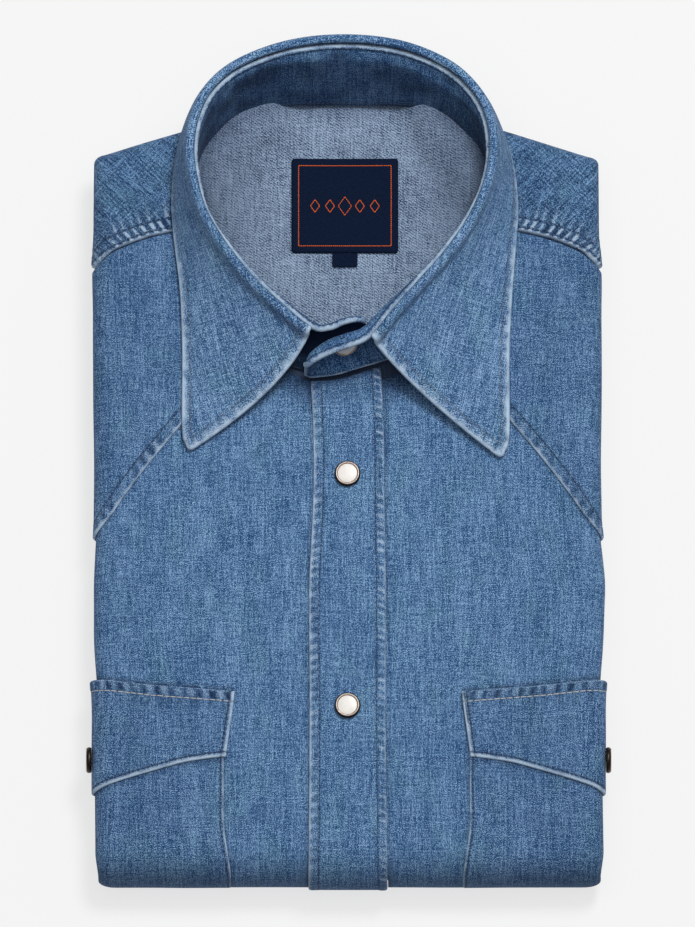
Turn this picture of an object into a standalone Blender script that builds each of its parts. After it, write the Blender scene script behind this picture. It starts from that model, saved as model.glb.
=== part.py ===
"""A western denim shirt with pearl snaps, folded flat. Metres, +Z up.

The shirt lies on its back: its sides and sleeves are folded behind it, and its tail is folded under
at the bottom bend. The origin is the middle of its footprint, on the surface that it lies on. +X is
the wearer's left, and +Y runs towards the collar. The collar stands closed, with its points down.

Cloth pieces that lie on the pack are laid on one form: u runs across from the middle of the front
and on round the side fold, and q runs down from the collar, round the bottom bend and on under the
pack. A piece's offset is how far its outer face lies outside that form.
"""

import math

import bmesh
import bpy
from mathutils import Vector

# The folded pack.
STACK_H = 0.030  # both halves of the pack, one on the other
BEND_R = STACK_H / 2
BEND_Y = -0.1788  # axis of the bottom bend
HALF_W = 0.115  # nominal half width, which the edge table varies
SIDE_ACROSS = 0.0075  # half axes of the side fold's round edge
SIDE_DEEP = 0.0065
FLAT_HALF = HALF_W - SIDE_ACROSS
SIDE_GIRTH = math.pi * (SIDE_ACROSS + SIDE_DEEP) / 2
SIDE_END = FLAT_HALF + SIDE_GIRTH
GAP = 0.0003  # between pieces that meet
HEM_Y = 0.132  # where the folded tail's hem lies, under the pack
UNDER_Q = BEND_Y - math.pi * BEND_R  # q at the bend's lower end, and at the hem
HEM_Q = UNDER_Q - (HEM_Y - BEND_Y)

# Half widths of the pack: y, the wearer's right side, the wearer's left side.
EDGES = (
    (-0.180, 0.1134, 0.1146),
    (-0.091, 0.1134, 0.1146),
    (-0.040, 0.1137, 0.1150),
    (0.000, 0.1135, 0.1139),
    (0.080, 0.1140, 0.1137),
    (0.092, 0.1144, 0.1140),
    (0.109, 0.1139, 0.1128),
    (0.160, 0.1134, 0.1124),
)

# Where columns of cloth run down the fronts, the front yokes and the pockets: u.
FRONT_COLUMNS = (GAP / 2, 0.020, 0.030, 0.044, 0.055, 0.0625, 0.0665, 0.078, 0.092)
YOKE_COLUMNS = (0.0455, 0.0530, 0.0600, 0.0645, 0.0668, 0.0755, 0.0900, 0.1000)
POCKET_COLUMNS = (0.0572, 0.075, 0.092)
SIDE_STEPS = 8  # columns round a side fold

# Walls, and how far each layer's outer face lies outside the form.
FRONT_WALL = 0.0020
THIN_WALL = 0.0012
PLACKET_WALL = 0.0016
SHOULDER_WALL = 0.0030
COLLAR_WALL = 0.0020
ON_FRONT = GAP + THIN_WALL
ON_POCKET = 2 * ON_FRONT
PLACKET_LIFT = GAP + PLACKET_WALL
SHOULDER_LIFT = 0.0018

# Neckline: a circle, cut lower at the middle of the front.
NECK_X = -0.0015
NECK_Y = 0.105
NECK_R = 0.0663
NECK_DIP = 0.0032
NECK_DIP_ANGLE = math.radians(24)

# Placket: y, its edge over the wearer's right front, its edge on the left front.
PLACKET_EDGES = (
    (-0.195, -0.0178, 0.0182),
    (-0.060, -0.0172, 0.0170),
    (-0.010, -0.0155, 0.0170),
    (0.016, -0.0157, 0.0168),
    (0.045, -0.0174, 0.0153),
)
PLACKET_TOP = ((-0.020, 0.0378), (-0.004, 0.0388), (0.006, 0.0420), (0.020, 0.0466))
SINK_FROM = math.radians(65)  # in the bottom bend, where the placket sinks level with the fronts
SINK_TO = math.radians(150)
PART_TO = math.radians(60)  # by here the fronts have drawn back to the placket's edges

# Front seam of the shoulder: u, y. Round the side fold it drops a little more.
SEAM = (
    (0.0660, 0.1113),
    (0.0800, 0.1087),
    (0.0900, 0.1064),
    (0.0980, 0.1036),
    (FLAT_HALF, 0.0994),
)
SEAM_DROP = 0.0062
SEAM_GAP = 0.0005
SEAM_GAP_SIDE = 0.0014

# Lower edge of the front yoke: u, y.
YOKE_EDGE = (
    (0.0440, 0.0530),
    (0.0600, 0.0365),
    (0.0755, 0.0185),
    (0.0900, 0.0010),
    (0.1040, -0.0180),
    (0.1100, -0.0280),
    (0.1140, -0.0335),
    (SIDE_END, -0.0358),
)

# Breast pocket and its flap: u, then the flap's upper and lower edges.
POCKET_TOP = -0.118
POCKET_END = math.radians(125)  # round the bottom bend
POCKET_LEAN = 0.0034  # towards the middle, at the bend
POCKET_LEAN_Q = (-0.1668, -0.1968)
FLAP_LEAN = 0.0043  # of its inner edge, away from the middle, from its top to its lower edge
FLAP_ROWS = 4
LEAN_OVER = 0.038  # columns of cloth beside a leaning edge share its lean over this width
FLAP = (
    (0.0520, -0.1080, -0.1386),
    (0.0565, -0.1076, -0.1389),
    (0.0750, -0.1062, -0.1413),
    (0.0900, -0.1050, -0.1452),
    (FLAT_HALF, -0.1030, -0.1505),
    (0.1185, -0.1012, -0.1556),
    (SIDE_END, -0.1000, -0.1508),
)

# Inside of the back yoke, seen through the neck.
INNER_Z = 0.0274
INNER_FRONT = 0.030
INNER_SIDE = 0.0100  # its edge keeps this far inside the pack's edge
INNER_BACK = 0.0090  # it ends this far inside the upper end, and runs out to it under the collar's back
INNER_OUT = (0.042, 0.050)
BOWL_DEEP = 0.0022
BOWL_R = 0.060
BOWL_FLAT = 0.021

# Upper end of the pack, seen from above: distance from the middle, y.
TOP_EDGE = (
    (0.000, 0.1700),
    (0.020, 0.1690),
    (0.042, 0.1645),
    (0.058, 0.1605),
    (0.0744, 0.1559),
    (0.112, 0.1437),
)
CORNER_FROM = 0.1325  # the corner's curve leaves the side here
CORNER_TO = 0.1030  # and meets the shoulder line here, measured across
# The shoulder's rows: y up the side, x along the upper end, and u along the seam, which they start from.
SHOULDER_SIDE = (SEAM[-1][1], 0.106, 0.118)
SHOULDER_TOP = (0.090, 0.0744, 0.066, 0.058, 0.050, 0.042)
SHOULDER_SEAM = (0.1045, 0.101, 0.0975, 0.094, 0.0915, 0.089, 0.0865, 0.084, 0.081, 0.0745)

# Neckline of the shoulder: angle above the neck's middle, and how far it clears the leaning stand.
SHOULDER_NECK = ((7, 0.0008), (22, 0.0030), (36, 0.0040), (47, 0.0044))

# Layers in the upper end of the hidden pack: how far each lies in, and its upper and lower z.
LAYERS = (
    (0.0120, 0.0246, 0.0200),
    (0.0105, 0.0193, 0.0156),
    (0.0075, 0.0146, 0.0108),
    (0.0100, 0.0100, 0.0068),
    (0.0085, 0.0061, 0.0023),
)
LAYER_SLOT = 0.0045
HIDDEN_SIDE = 0.0036
HIDDEN_ROUND = 0.0015  # its edges are cut back by this much
LAYER_ROUND = 0.0010
HIDDEN_BACK = 0.150
HIDDEN_STEP = (0.029, 0.027, -0.060)  # y where it steps up from under the back yoke to under the fronts

# Collar stand, from the end that lies under, round the back, to the end that lies over:
# base x, y, z, then the upper edge x, y, z, and how far that edge turns outwards.
STAND = (
    (0.0095, 0.0485, 0.0290, 0.0080, 0.0610, 0.0480, 0.0020),
    (0.0060, 0.0475, 0.0285, 0.0045, 0.0612, 0.0508, 0.0036),
    (-0.0010, 0.0452, 0.0285, -0.0015, 0.0597, 0.0515, 0.0042),
    (-0.0085, 0.0437, 0.0285, -0.0080, 0.0570, 0.0515, 0.0044),
    (-0.0180, 0.0440, 0.0285, -0.0160, 0.0575, 0.0515, 0.0046),
    (-0.0330, 0.0496, 0.0285, -0.0290, 0.0680, 0.0522, 0.0040),
    (-0.0480, 0.0610, 0.0285, -0.0435, 0.0820, 0.0532, 0.0025),
    (-0.0585, 0.0757, 0.0285, -0.0555, 0.0975, 0.0545, 0.0010),
    (-0.0640, 0.0912, 0.0285, -0.0640, 0.1125, 0.0558, 0.0000),
    (-0.0668, 0.1080, 0.0325, -0.0680, 0.1270, 0.0567, 0.0000),
    (-0.0692, 0.1259, 0.0330, -0.0694, 0.1410, 0.0570, 0.0000),
    (-0.0678, 0.1419, 0.0330, -0.0672, 0.1550, 0.0570, 0.0000),
    (-0.0600, 0.1540, 0.0330, -0.0607, 0.1683, 0.0568, 0.0000),
    (-0.0480, 0.1640, 0.0328, -0.0476, 0.1790, 0.0562, 0.0000),
    (-0.0265, 0.1682, 0.0305, -0.0258, 0.1872, 0.0555, 0.0000),
    (-0.0015, 0.1690, 0.0288, -0.0011, 0.1902, 0.0550, 0.0000),
    (0.0235, 0.1682, 0.0305, 0.0240, 0.1873, 0.0556, 0.0000),
    (0.0415, 0.1649, 0.0328, 0.0446, 0.1783, 0.0563, 0.0000),
    (0.0540, 0.1547, 0.0330, 0.0569, 0.1662, 0.0569, 0.0000),
    (0.0620, 0.1447, 0.0330, 0.0628, 0.1535, 0.0570, 0.0000),
    (0.0652, 0.1297, 0.0330, 0.0641, 0.1385, 0.0570, 0.0000),
    (0.0636, 0.1070, 0.0325, 0.0612, 0.1240, 0.0565, 0.0000),
    (0.0600, 0.0890, 0.0285, 0.0545, 0.1085, 0.0554, 0.0010),
    (0.0528, 0.0745, 0.0285, 0.0440, 0.0930, 0.0543, 0.0025),
    (0.0415, 0.0615, 0.0285, 0.0320, 0.0792, 0.0532, 0.0040),
    (0.0280, 0.0528, 0.0285, 0.0205, 0.0660, 0.0524, 0.0056),
    (0.0165, 0.0480, 0.0285, 0.0102, 0.0545, 0.0520, 0.0066),
    (0.0060, 0.0447, 0.0285, 0.0015, 0.0508, 0.0518, 0.0070),
    (-0.0045, 0.0415, 0.0285, -0.0065, 0.0482, 0.0510, 0.0066),
    (-0.0125, 0.0406, 0.0290, -0.0140, 0.0450, 0.0492, 0.0050),
    (-0.0175, 0.0404, 0.0305, -0.0182, 0.0426, 0.0464, 0.0028),
    (-0.0197, 0.0409, 0.0345, -0.0199, 0.0418, 0.0425, 0.0010),
)
STAND_STEPS = 2  # columns of cloth for each row of the table
STAND_STRAIGHT = 0.78  # share of the way to the turn that stays straight
STAND_KNEE = 0.55  # how far below the upper edge it turns, for each metre that it turns outwards

# Free edge of the collar leaf: the row of the stand above it, x, y, z, and how hollow it falls.
LEAF = (
    (4.0, -0.0705, 0.0050, 0.0322, 1.5),
    (4.3, -0.0742, 0.0060, 0.0322, 1.5),
    (5.0, -0.0752, 0.0240, 0.0332, 1.5),
    (6.0, -0.0752, 0.0520, 0.0333, 1.4),
    (7.0, -0.0762, 0.0800, 0.0334, 1.3),
    (8.0, -0.0787, 0.1010, 0.0336, 1.2),
    (9.0, -0.0799, 0.1180, 0.0338, 1.1),
    (10.0, -0.0789, 0.1340, 0.0342, 1.1),
    (11.0, -0.0764, 0.1490, 0.0344, 1.1),
    (11.7, -0.0723, 0.1598, 0.0290, 1.0),
    (12.5, -0.0682, 0.1715, 0.0190, 1.0),
    (13.2, -0.0560, 0.1815, 0.0145, 1.0),
    (14.0, -0.0300, 0.1905, 0.0125, 1.0),
    (15.0, -0.0011, 0.1930, 0.0120, 1.0),
    (16.0, 0.0285, 0.1905, 0.0125, 1.0),
    (16.8, 0.0525, 0.1810, 0.0145, 1.0),
    (17.6, 0.0648, 0.1706, 0.0190, 1.0),
    (18.3, 0.0682, 0.1592, 0.0290, 1.0),
    (19.0, 0.0724, 0.1490, 0.0344, 1.1),
    (20.0, 0.0763, 0.1330, 0.0342, 1.1),
    (21.0, 0.0778, 0.1180, 0.0338, 1.1),
    (22.0, 0.0766, 0.0980, 0.0336, 1.2),
    (23.0, 0.0748, 0.0760, 0.0334, 1.3),
    (24.0, 0.0736, 0.0500, 0.0333, 1.4),
    (25.0, 0.0732, 0.0240, 0.0332, 1.5),
    (25.7, 0.0722, 0.0040, 0.0322, 1.5),
    (26.0, 0.0678, 0.0016, 0.0322, 1.5),
)
LEAF_COLUMNS = 62
LEAF_FALL_ROWS = 7
# The roll over the stand's upper edge: outwards, upwards.
ROLL = ((0.0006, 0.0013), (0.0018, 0.0027), (0.0034, 0.0015), (0.0041, -0.0030))
LEAF_SWING = 0.35  # how far the fall keeps the roll's direction

# Label and size tab, on the inside of the back yoke.
LABEL_X = (-0.0255, 0.0231)
LABEL_Y = (0.0999, 0.1440)
TAB_X = (-0.0069, 0.0046)
TAB_Y = (0.0932, 0.0996)
LABEL_WALL = 0.0010

# Snaps: the cap's outline from its crown outwards and down, as shares of its radius and height.
SNAP_R = 0.0059
SNAP_H = 0.0024
SNAP_OUTLINE = (
    (0.00, 0.86),
    (0.55, 0.83),
    (0.72, 0.74),
    (0.79, 1.00),
    (0.92, 0.94),
    (1.00, 0.60),
    (0.90, 0.00),
    (0.00, 0.00),
)
SNAP_STEPS = 16
FRONT_SNAPS_Y = (-0.0060, -0.1147)
FLAP_SNAP_Y = -0.1380
NECK_SNAP_ROW = 27.3
NECK_SNAP_UP = 0.0140

COLOURS = {
    "denim": ((0.10, 0.20, 0.38), 0.9, 0.0),
    "denim_inside": ((0.28, 0.36, 0.48), 0.9, 0.0),
    "label": ((0.012, 0.02, 0.05), 0.8, 0.0),
    "snap": ((0.85, 0.82, 0.76), 0.25, 0.0),
}


def ramp(value, start, end):
    """0 before start, 1 after end, and a smooth curve between them."""
    share = min(1.0, max(0.0, (value - start) / (end - start)))
    return share * share * (3 - 2 * share)


def table(rows, at, column=1):
    """Reads a column of a table at a place along its first column."""
    if at <= rows[0][0]:
        return rows[0][column]
    for low, high in zip(rows, rows[1:]):
        if at <= high[0]:
            share = (at - low[0]) / (high[0] - low[0])
            return low[column] + share * (high[column] - low[column])
    return rows[-1][column]


def spread(start, end, count):
    return [start + (end - start) * i / count for i in range(count + 1)]


def spline(rows, at):
    """A smooth curve through the rows, read at a row number that need not be whole."""
    last = len(rows) - 1
    base = min(int(at), last - 1)
    t = at - base
    a, b, c, d = (rows[min(last, max(0, base + k))] for k in (-1, 0, 1, 2))
    return [
        0.5 * (2 * q + (r - p) * t + (2 * p - 5 * q + 4 * r - s) * t * t + (3 * q - p - 3 * r + s) * t**3)
        for p, q, r, s in zip(a, b, c, d)
    ]


def bezier(start, middle, end, t):
    return start * (1 - t) ** 2 + middle * 2 * t * (1 - t) + end * t * t


# The folded form.


def bend_angle(q):
    return min(math.pi, max(0.0, (BEND_Y - q) / BEND_R))


def strip(q):
    """The form's outer line at q: the point in Y and Z, and the way out."""
    angle = bend_angle(q)
    out = Vector((0, -math.sin(angle), math.cos(angle)))
    point = Vector((0, BEND_Y, BEND_R)) + out * BEND_R
    if angle == 0:
        point.y = q
    if angle == math.pi:
        point.y = BEND_Y + (BEND_Y - q) - math.pi * BEND_R
    return point, out


def half_width(side, y):
    return table(EDGES, y, 1 if side < 0 else 2)


def form(side, u, q, offset):
    """The point at u and q, moved out by the offset. Side is 1 on the wearer's left, else -1."""
    point, out = strip(q)
    flat = half_width(side, point.y) - SIDE_ACROSS
    turn = math.pi * max(0.0, u - FLAT_HALF) / SIDE_GIRTH
    across = flat * min(u, FLAT_HALF) / FLAT_HALF + SIDE_ACROSS * math.sin(turn)
    depth = SIDE_DEEP * (1 - math.cos(turn))
    normal = Vector((math.sin(turn) / SIDE_ACROSS, math.cos(turn) / SIDE_DEEP)).normalized()
    moved = point + out * (normal.y * offset - depth)
    return Vector((side * (across + normal.x * offset), moved.y, moved.z))


def side_columns():
    return spread(FLAT_HALF, SIDE_END, SIDE_STEPS)


def bend_rows(steps, end_angle=math.pi):
    return [BEND_Y - BEND_R * angle for angle in spread(0.0, end_angle, steps)]


def neck_edge(x):
    """The fronts' neckline: y at x, below the neck's middle."""
    across = x - NECK_X
    if abs(across) >= NECK_R:
        return NECK_Y
    angle = math.asin(across / NECK_R)
    radius = NECK_R + NECK_DIP * math.exp(-((angle / NECK_DIP_ANGLE) ** 2))
    return NECK_Y - math.sqrt(max(0.0, radius * radius - across * across))


def below_seam(u):
    turn = math.pi * max(0.0, u - FLAT_HALF) / SIDE_GIRTH
    drop = (SEAM_DROP + SEAM_GAP_SIDE) * math.sin(min(turn, math.pi / 2))
    return table(SEAM, u) - SEAM_GAP - drop


def front_top(side, u):
    """Where a front starts: at the neckline, or at the shoulder's seam further out."""
    if abs(side * u - NECK_X) > NECK_R:
        return below_seam(u)
    return min(neck_edge(side * u), below_seam(u))


# Making objects.


def clear_scene():
    for old in list(bpy.data.objects):
        bpy.data.objects.remove(old, do_unlink=True)


def new_collection(name):
    made = bpy.data.collections.new(name)
    bpy.context.scene.collection.children.link(made)
    return made


def new_material(name):
    colour, roughness, metallic = COLOURS[name]
    made = bpy.data.materials.new(name)
    made.use_nodes = True
    shader = made.node_tree.nodes["Principled BSDF"]
    shader.inputs["Base Color"].default_value = (*colour, 1.0)
    shader.inputs["Roughness"].default_value = roughness
    shader.inputs["Metallic"].default_value = metallic
    return made


def new_object(name, mesh, material):
    mesh.materials.append(bpy.data.materials[material])
    for face in mesh.polygons:
        face.use_smooth = True
    made = bpy.data.objects.new(name, mesh)
    bpy.data.collections["denim_shirt"].objects.link(made)
    return made


def sheet(name, columns, wall, material, flip=False):
    """Cloth through columns of points. The points are its outer face, and its wall lies inside them."""
    shape = bmesh.new()
    grid = [[shape.verts.new(point) for point in column] for column in columns]
    for left, right in zip(grid, grid[1:]):
        for i in range(len(left) - 1):
            corners = [left[i], left[i + 1], right[i + 1], right[i]]
            shape.faces.new(corners[::-1] if flip else corners)
    mesh = bpy.data.meshes.new(name)
    shape.to_mesh(mesh)
    shape.free()
    made = new_object(name, mesh, material)
    solid = made.modifiers.new("cloth wall", "SOLIDIFY")
    solid.thickness = wall
    solid.offset = -1.0
    return made


def laid(name, side, columns, wall, material="denim"):
    """Cloth laid on the form, from columns that run outwards on its side."""
    return sheet(name, columns, wall, material, flip=side < 0)


# Fronts and what lies on them.


def make_front(name, side):
    """A front: from the neckline and shoulder seam down, round the bottom bend, and under to its hem."""

    def column(u):
        rows = spread(front_top(side, u), BEND_Y, 8)[:-1] + bend_rows(10) + spread(UNDER_Q, HEM_Q, 5)[1:]
        edge = GAP / 2
        if u > edge:
            return [form(side, u, q, 0.0) for q in rows]
        points = []
        for q in rows:
            parted = ramp(bend_angle(q), 0.0, PART_TO)
            out = abs(placket_edge(side, q)) + GAP
            points.append(form(side, edge + parted * (out - edge), q, 0.0))
        return points

    laid(name, side, [column(u) for u in [*FRONT_COLUMNS, *side_columns()]], FRONT_WALL)


def placket_edge(side, q):
    y = strip(q)[0].y if q > UNDER_Q else PLACKET_EDGES[0][0]
    return table(PLACKET_EDGES, y, 1 if side < 0 else 2)


def make_placket():
    """The strip with the snaps. It lies on the fronts, and sinks level with them under the pack."""

    def column(share):
        points = []
        top_x = placket_edge(-1, NECK_Y) * (1 - share) + placket_edge(1, NECK_Y) * share
        rows = spread(table(PLACKET_TOP, top_x), BEND_Y, 8)[:-1] + bend_rows(12)
        for q in rows + spread(UNDER_Q, HEM_Q, 4)[1:]:
            x = placket_edge(-1, q) * (1 - share) + placket_edge(1, q) * share
            lift = PLACKET_LIFT * (1 - ramp(bend_angle(q), SINK_FROM, SINK_TO))
            points.append(form(1, x, q, lift))
        return points

    sheet("placket", [column(share) for share in spread(0.0, 1.0, 4)], PLACKET_WALL, "denim")


def make_front_yoke(name, side):
    """The western yoke on a front, from the shoulder seam to its slanting edge."""
    columns = []
    for u in [*YOKE_COLUMNS, *side_columns()]:
        rows = spread(front_top(side, u), table(YOKE_EDGE, u), 6)
        columns.append([form(side, u, q, ON_FRONT) for q in rows])
    laid(name, side, columns, THIN_WALL)


def beside(u, edge):
    """The share of an edge's lean that a column of cloth takes."""
    return 1 - ramp(u, edge, edge + LEAN_OVER)


def make_pocket(name, side):
    """The breast pocket: it wraps the side fold, and runs down into the bottom bend."""
    rows = spread(POCKET_TOP, BEND_Y, 3)[:-1] + bend_rows(8, POCKET_END)
    columns = []
    for u in [*POCKET_COLUMNS, *side_columns()]:
        lean = -POCKET_LEAN * beside(u, POCKET_COLUMNS[0])
        columns.append([form(side, u + lean * ramp(-q, *[-end for end in POCKET_LEAN_Q]), q, ON_FRONT) for q in rows])
    laid(name, side, columns, THIN_WALL)


def make_flap(name, side):
    """The pocket's flap, with its point on the side fold."""
    columns = []
    for u in [row[0] for row in FLAP if row[0] < FLAT_HALF] + side_columns():
        rows = spread(table(FLAP, u, 1), table(FLAP, u, 2), FLAP_ROWS)
        lean = FLAP_LEAN * beside(u, FLAP[0][0])
        columns.append([form(side, u + lean * i / FLAP_ROWS, q, ON_POCKET) for i, q in enumerate(rows)])
    laid(name, side, columns, THIN_WALL)


# The back yoke: its inside in the neck, and the stretches that lie on the shoulders.


def top_edge(x):
    return table(TOP_EDGE, abs(x))


def inner_z(x, y):
    """Height of the back yoke's inside."""
    away = math.hypot(x - NECK_X, y - NECK_Y)
    return INNER_Z - BOWL_DEEP * (1 - ramp(away, BOWL_FLAT, BOWL_R))


def inner_points(xs, ys_of, lift):
    return [[Vector((x, y, inner_z(x, y) + lift)) for y in ys_of(x)] for x in xs]


def make_back_yoke():
    edge = HALF_W - INNER_SIDE
    xs = spread(-edge, -BOWL_R, 2) + spread(-BOWL_R, BOWL_R, 10)[1:] + spread(BOWL_R, edge, 2)[1:]

    def ys_of(x):
        back = INNER_BACK * ramp(abs(x), *INNER_OUT)
        return spread(top_edge(x) - back, INNER_FRONT, 14)

    sheet("back_yoke", inner_points(xs, ys_of, 0.0), FRONT_WALL, "denim_inside")


def shoulder_rows(side):
    """The shoulder's rows: a point at its seam or neckline, then the pack's edge and the way out of it."""
    corner = [Vector((HALF_W, y)) for y in (CORNER_FROM, top_edge(HALF_W))]
    corner.append(Vector((CORNER_TO, top_edge(CORNER_TO))))
    outline = [Vector((HALF_W, y)) for y in SHOULDER_SIDE]
    outline += [bezier(*corner, t) for t in spread(0.0, 1.0, 5)]
    outline += [Vector((x, top_edge(x))) for x in SHOULDER_TOP]
    starts = [Vector((u, table(SEAM, u))) for u in SHOULDER_SEAM]
    for degrees, clear in SHOULDER_NECK:
        angle = math.radians(degrees)
        radius = NECK_R + clear
        reach = radius * math.cos(angle) + side * NECK_X
        starts.append(Vector((reach, NECK_Y + radius * math.sin(angle))))
    rows = []
    for i, (start, edge) in enumerate(zip(starts, outline)):
        before, after = outline[max(0, i - 1)], outline[min(len(outline) - 1, i + 1)]
        along = (after - before).normalized()
        scale = half_width(side, edge.y) / HALF_W
        rows.append((start, Vector((edge.x * scale, edge.y)), Vector((along.y, -along.x)), i))
    return rows


def make_shoulder(name, side):
    """The stretch of the back yoke that comes over the shoulder to the front seam."""
    columns = []
    for start, edge, out, i in shoulder_rows(side):
        lag = SEAM_DROP * max(0.0, 1 - i / 2)
        inner = edge - out * SIDE_ACROSS
        points = [start.lerp(inner, share) for share in spread(0.0, 1.0, 3)[:-1]]
        column = [Vector((side * p.x, p.y, STACK_H + SHOULDER_LIFT)) for p in points]
        for turn in spread(0.0, math.pi, SIDE_STEPS):
            normal = Vector((math.sin(turn) / SIDE_ACROSS, math.cos(turn) / SIDE_DEEP)).normalized()
            plan = inner + out * (SIDE_ACROSS * math.sin(turn) + normal.x * SHOULDER_LIFT)
            z = STACK_H - SIDE_DEEP * (1 - math.cos(turn)) + normal.y * SHOULDER_LIFT
            drop = lag * math.sin(min(turn, math.pi / 2))
            column.append(Vector((side * plan.x, plan.y - drop, z)))
        columns.append(column)
    sheet(name, columns, SHOULDER_WALL, "denim", flip=side < 0)


# The hidden layers.


def hidden_outline(x, inset):
    """The pack's inside at x, seen from the side: over the top, round the bend, back, and up its layers."""
    end = top_edge(x) - inset
    under_yoke = FRONT_WALL + GAP
    points = []
    upper_end = end - LAYERS[0][0]
    back = min(HIDDEN_BACK, upper_end - LAYER_ROUND)
    for y in [upper_end, *spread(back, HIDDEN_STEP[0], 7), *HIDDEN_STEP[1:]]:
        level = inner_z(x, y) - under_yoke if y > HIDDEN_STEP[1] else STACK_H - under_yoke
        points.append((y, level - inset))
    radius = BEND_R - FRONT_WALL - GAP - inset
    for angle in spread(0.0, math.pi, 10):
        points.append((BEND_Y - radius * math.sin(angle), BEND_R + radius * math.cos(angle)))
    for inward, upper, lower in reversed(LAYERS):
        low, high = max(lower, FRONT_WALL + GAP + inset), min(upper, INNER_Z - under_yoke - inset)
        middle = (low + high) / 2
        out = end - inward
        points += [(out - LAYER_ROUND, low), (out, middle), (out - LAYER_ROUND, high)]
        if upper != LAYERS[0][1]:
            points.append((out - LAYER_SLOT, high + GAP))
    return points


def make_hidden_layers():
    """Back, sleeves and tail, folded inside the pack: one rounded solid, layered at its upper end."""
    half = FLAT_HALF - HIDDEN_SIDE
    flat = half - HIDDEN_ROUND
    stations = [(-half, HIDDEN_ROUND)] + [(x, 0.0) for x in [-flat] + spread(-0.084, 0.084, 12) + [flat]]
    stations.append((half, HIDDEN_ROUND))
    shape = bmesh.new()
    rings = []
    for x, inset in stations:
        rings.append([shape.verts.new((x, y, z)) for y, z in hidden_outline(x, inset)])
    for left, right in zip(rings, rings[1:]):
        for i in range(len(left)):
            j = (i + 1) % len(left)
            shape.faces.new([left[i], right[i], right[j], left[j]])
    shape.faces.new(rings[0])
    shape.faces.new(rings[-1][::-1])
    bmesh.ops.recalc_face_normals(shape, faces=shape.faces)
    mesh = bpy.data.meshes.new("hidden_layers")
    shape.to_mesh(mesh)
    shape.free()
    new_object("hidden_layers", mesh, "denim")


# The collar.


def stand_row(at):
    """The stand at a row: its base, its upper edge, the way out of the neck, and the turn's width."""
    bx, by, bz, tx, ty, tz, turn = spline(STAND, at)
    ahead, behind = spline(STAND, min(at + 0.3, len(STAND) - 1)), spline(STAND, max(at - 0.3, 0))
    along = Vector((ahead[3] - behind[3], ahead[4] - behind[4], 0)).normalized()
    # The table runs clockwise seen from above, so the way out lies on its left.
    out = Vector((-along.y, along.x, 0))
    return Vector((bx, by, bz)), Vector((tx, ty, tz)), out, turn


def stand_knee(top, out, turn):
    return top - out * turn - Vector((0, 0, STAND_KNEE * turn))


def stand_section(at):
    base, top, out, turn = stand_row(at)
    knee = stand_knee(top, out, turn)
    straight = base.lerp(knee, STAND_STRAIGHT)
    points = [base, base.lerp(straight, 0.5)]
    return points + [bezier(straight, knee, top, t) for t in spread(0.0, 1.0, 3)]


def centred(name, columns, wall, material="denim", flip=False):
    """Cloth whose wall lies half on each side of its points."""
    made = sheet(name, columns, wall, material, flip)
    made.modifiers["cloth wall"].offset = 0.0
    return made


def make_stand():
    count = (len(STAND) - 1) * STAND_STEPS
    centred("collar_stand", [stand_section(i / STAND_STEPS) for i in range(count + 1)], COLLAR_WALL)


def leaf_section(at):
    """From the stand's upper edge, over the roll, and down to the free edge."""
    _, top, out, _ = stand_row(at)
    up = Vector((0, 0, 1))
    points = [top + out * o + up * z for o, z in ROLL]
    free = Vector([table(LEAF, at, k) for k in (1, 2, 3)])
    hollow = table(LEAF, at, 4)
    start = points[-1]
    swing = start + out * (LEAF_SWING * (free - start).to_2d().length)
    for t in spread(0.0, 1.0, LEAF_FALL_ROWS)[1:]:
        point = bezier(start, swing, free, t)
        point.z = free.z + (start.z - free.z) * (1 - t) ** hollow
        points.append(point)
    return points


def make_leaf():
    ats = spread(LEAF[0][0], LEAF[-1][0], LEAF_COLUMNS)
    centred("collar_leaf", [leaf_section(at) for at in ats], COLLAR_WALL)


# Label and snaps.


def make_label(name, xs, ys):
    columns = inner_points(spread(*xs, 4), lambda _: spread(ys[1], ys[0], 4), GAP + LABEL_WALL)
    sheet(name, columns, LABEL_WALL, "label")


def make_snap(name, place, facing):
    """A pearl cap in a metal ring, turned about its own axis."""
    mesh = bpy.data.meshes.new(name)
    outline = [(share * SNAP_R, 0.0, height * SNAP_H) for share, height in SNAP_OUTLINE]
    mesh.from_pydata(outline, [(i, i + 1) for i in range(len(outline) - 1)], [])
    made = new_object(name, mesh, "snap")
    turned = made.modifiers.new("turned", "SCREW")
    turned.axis = "Z"
    turned.steps = SNAP_STEPS
    turned.render_steps = SNAP_STEPS
    turned.use_merge_vertices = True
    turned.merge_threshold = 0.00001
    made.rotation_mode = "QUATERNION"
    made.rotation_quaternion = Vector((0, 0, 1)).rotation_difference(facing)
    made.location = place


def make_snaps():
    for number, y in enumerate(FRONT_SNAPS_Y, 1):
        face = form(1, 0.0, y, PLACKET_LIFT + GAP)
        make_snap(f"snap_front_{number}", face, Vector((0, 0, 1)))
    for side, name in ((-1, "snap_flap_right"), (1, "snap_flap_left")):
        face = form(side, FLAT_HALF + SIDE_GIRTH / 2, FLAP_SNAP_Y, ON_POCKET + GAP)
        make_snap(name, face, Vector((side, 0, 0)))
    base, top, out, turn = stand_row(NECK_SNAP_ROW)
    up = (stand_knee(top, out, turn) - base).normalized()
    facing = (out - up * out.dot(up)).normalized()
    make_snap("snap_neck", base + up * NECK_SNAP_UP + facing * (COLLAR_WALL / 2 + GAP), facing)


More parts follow.
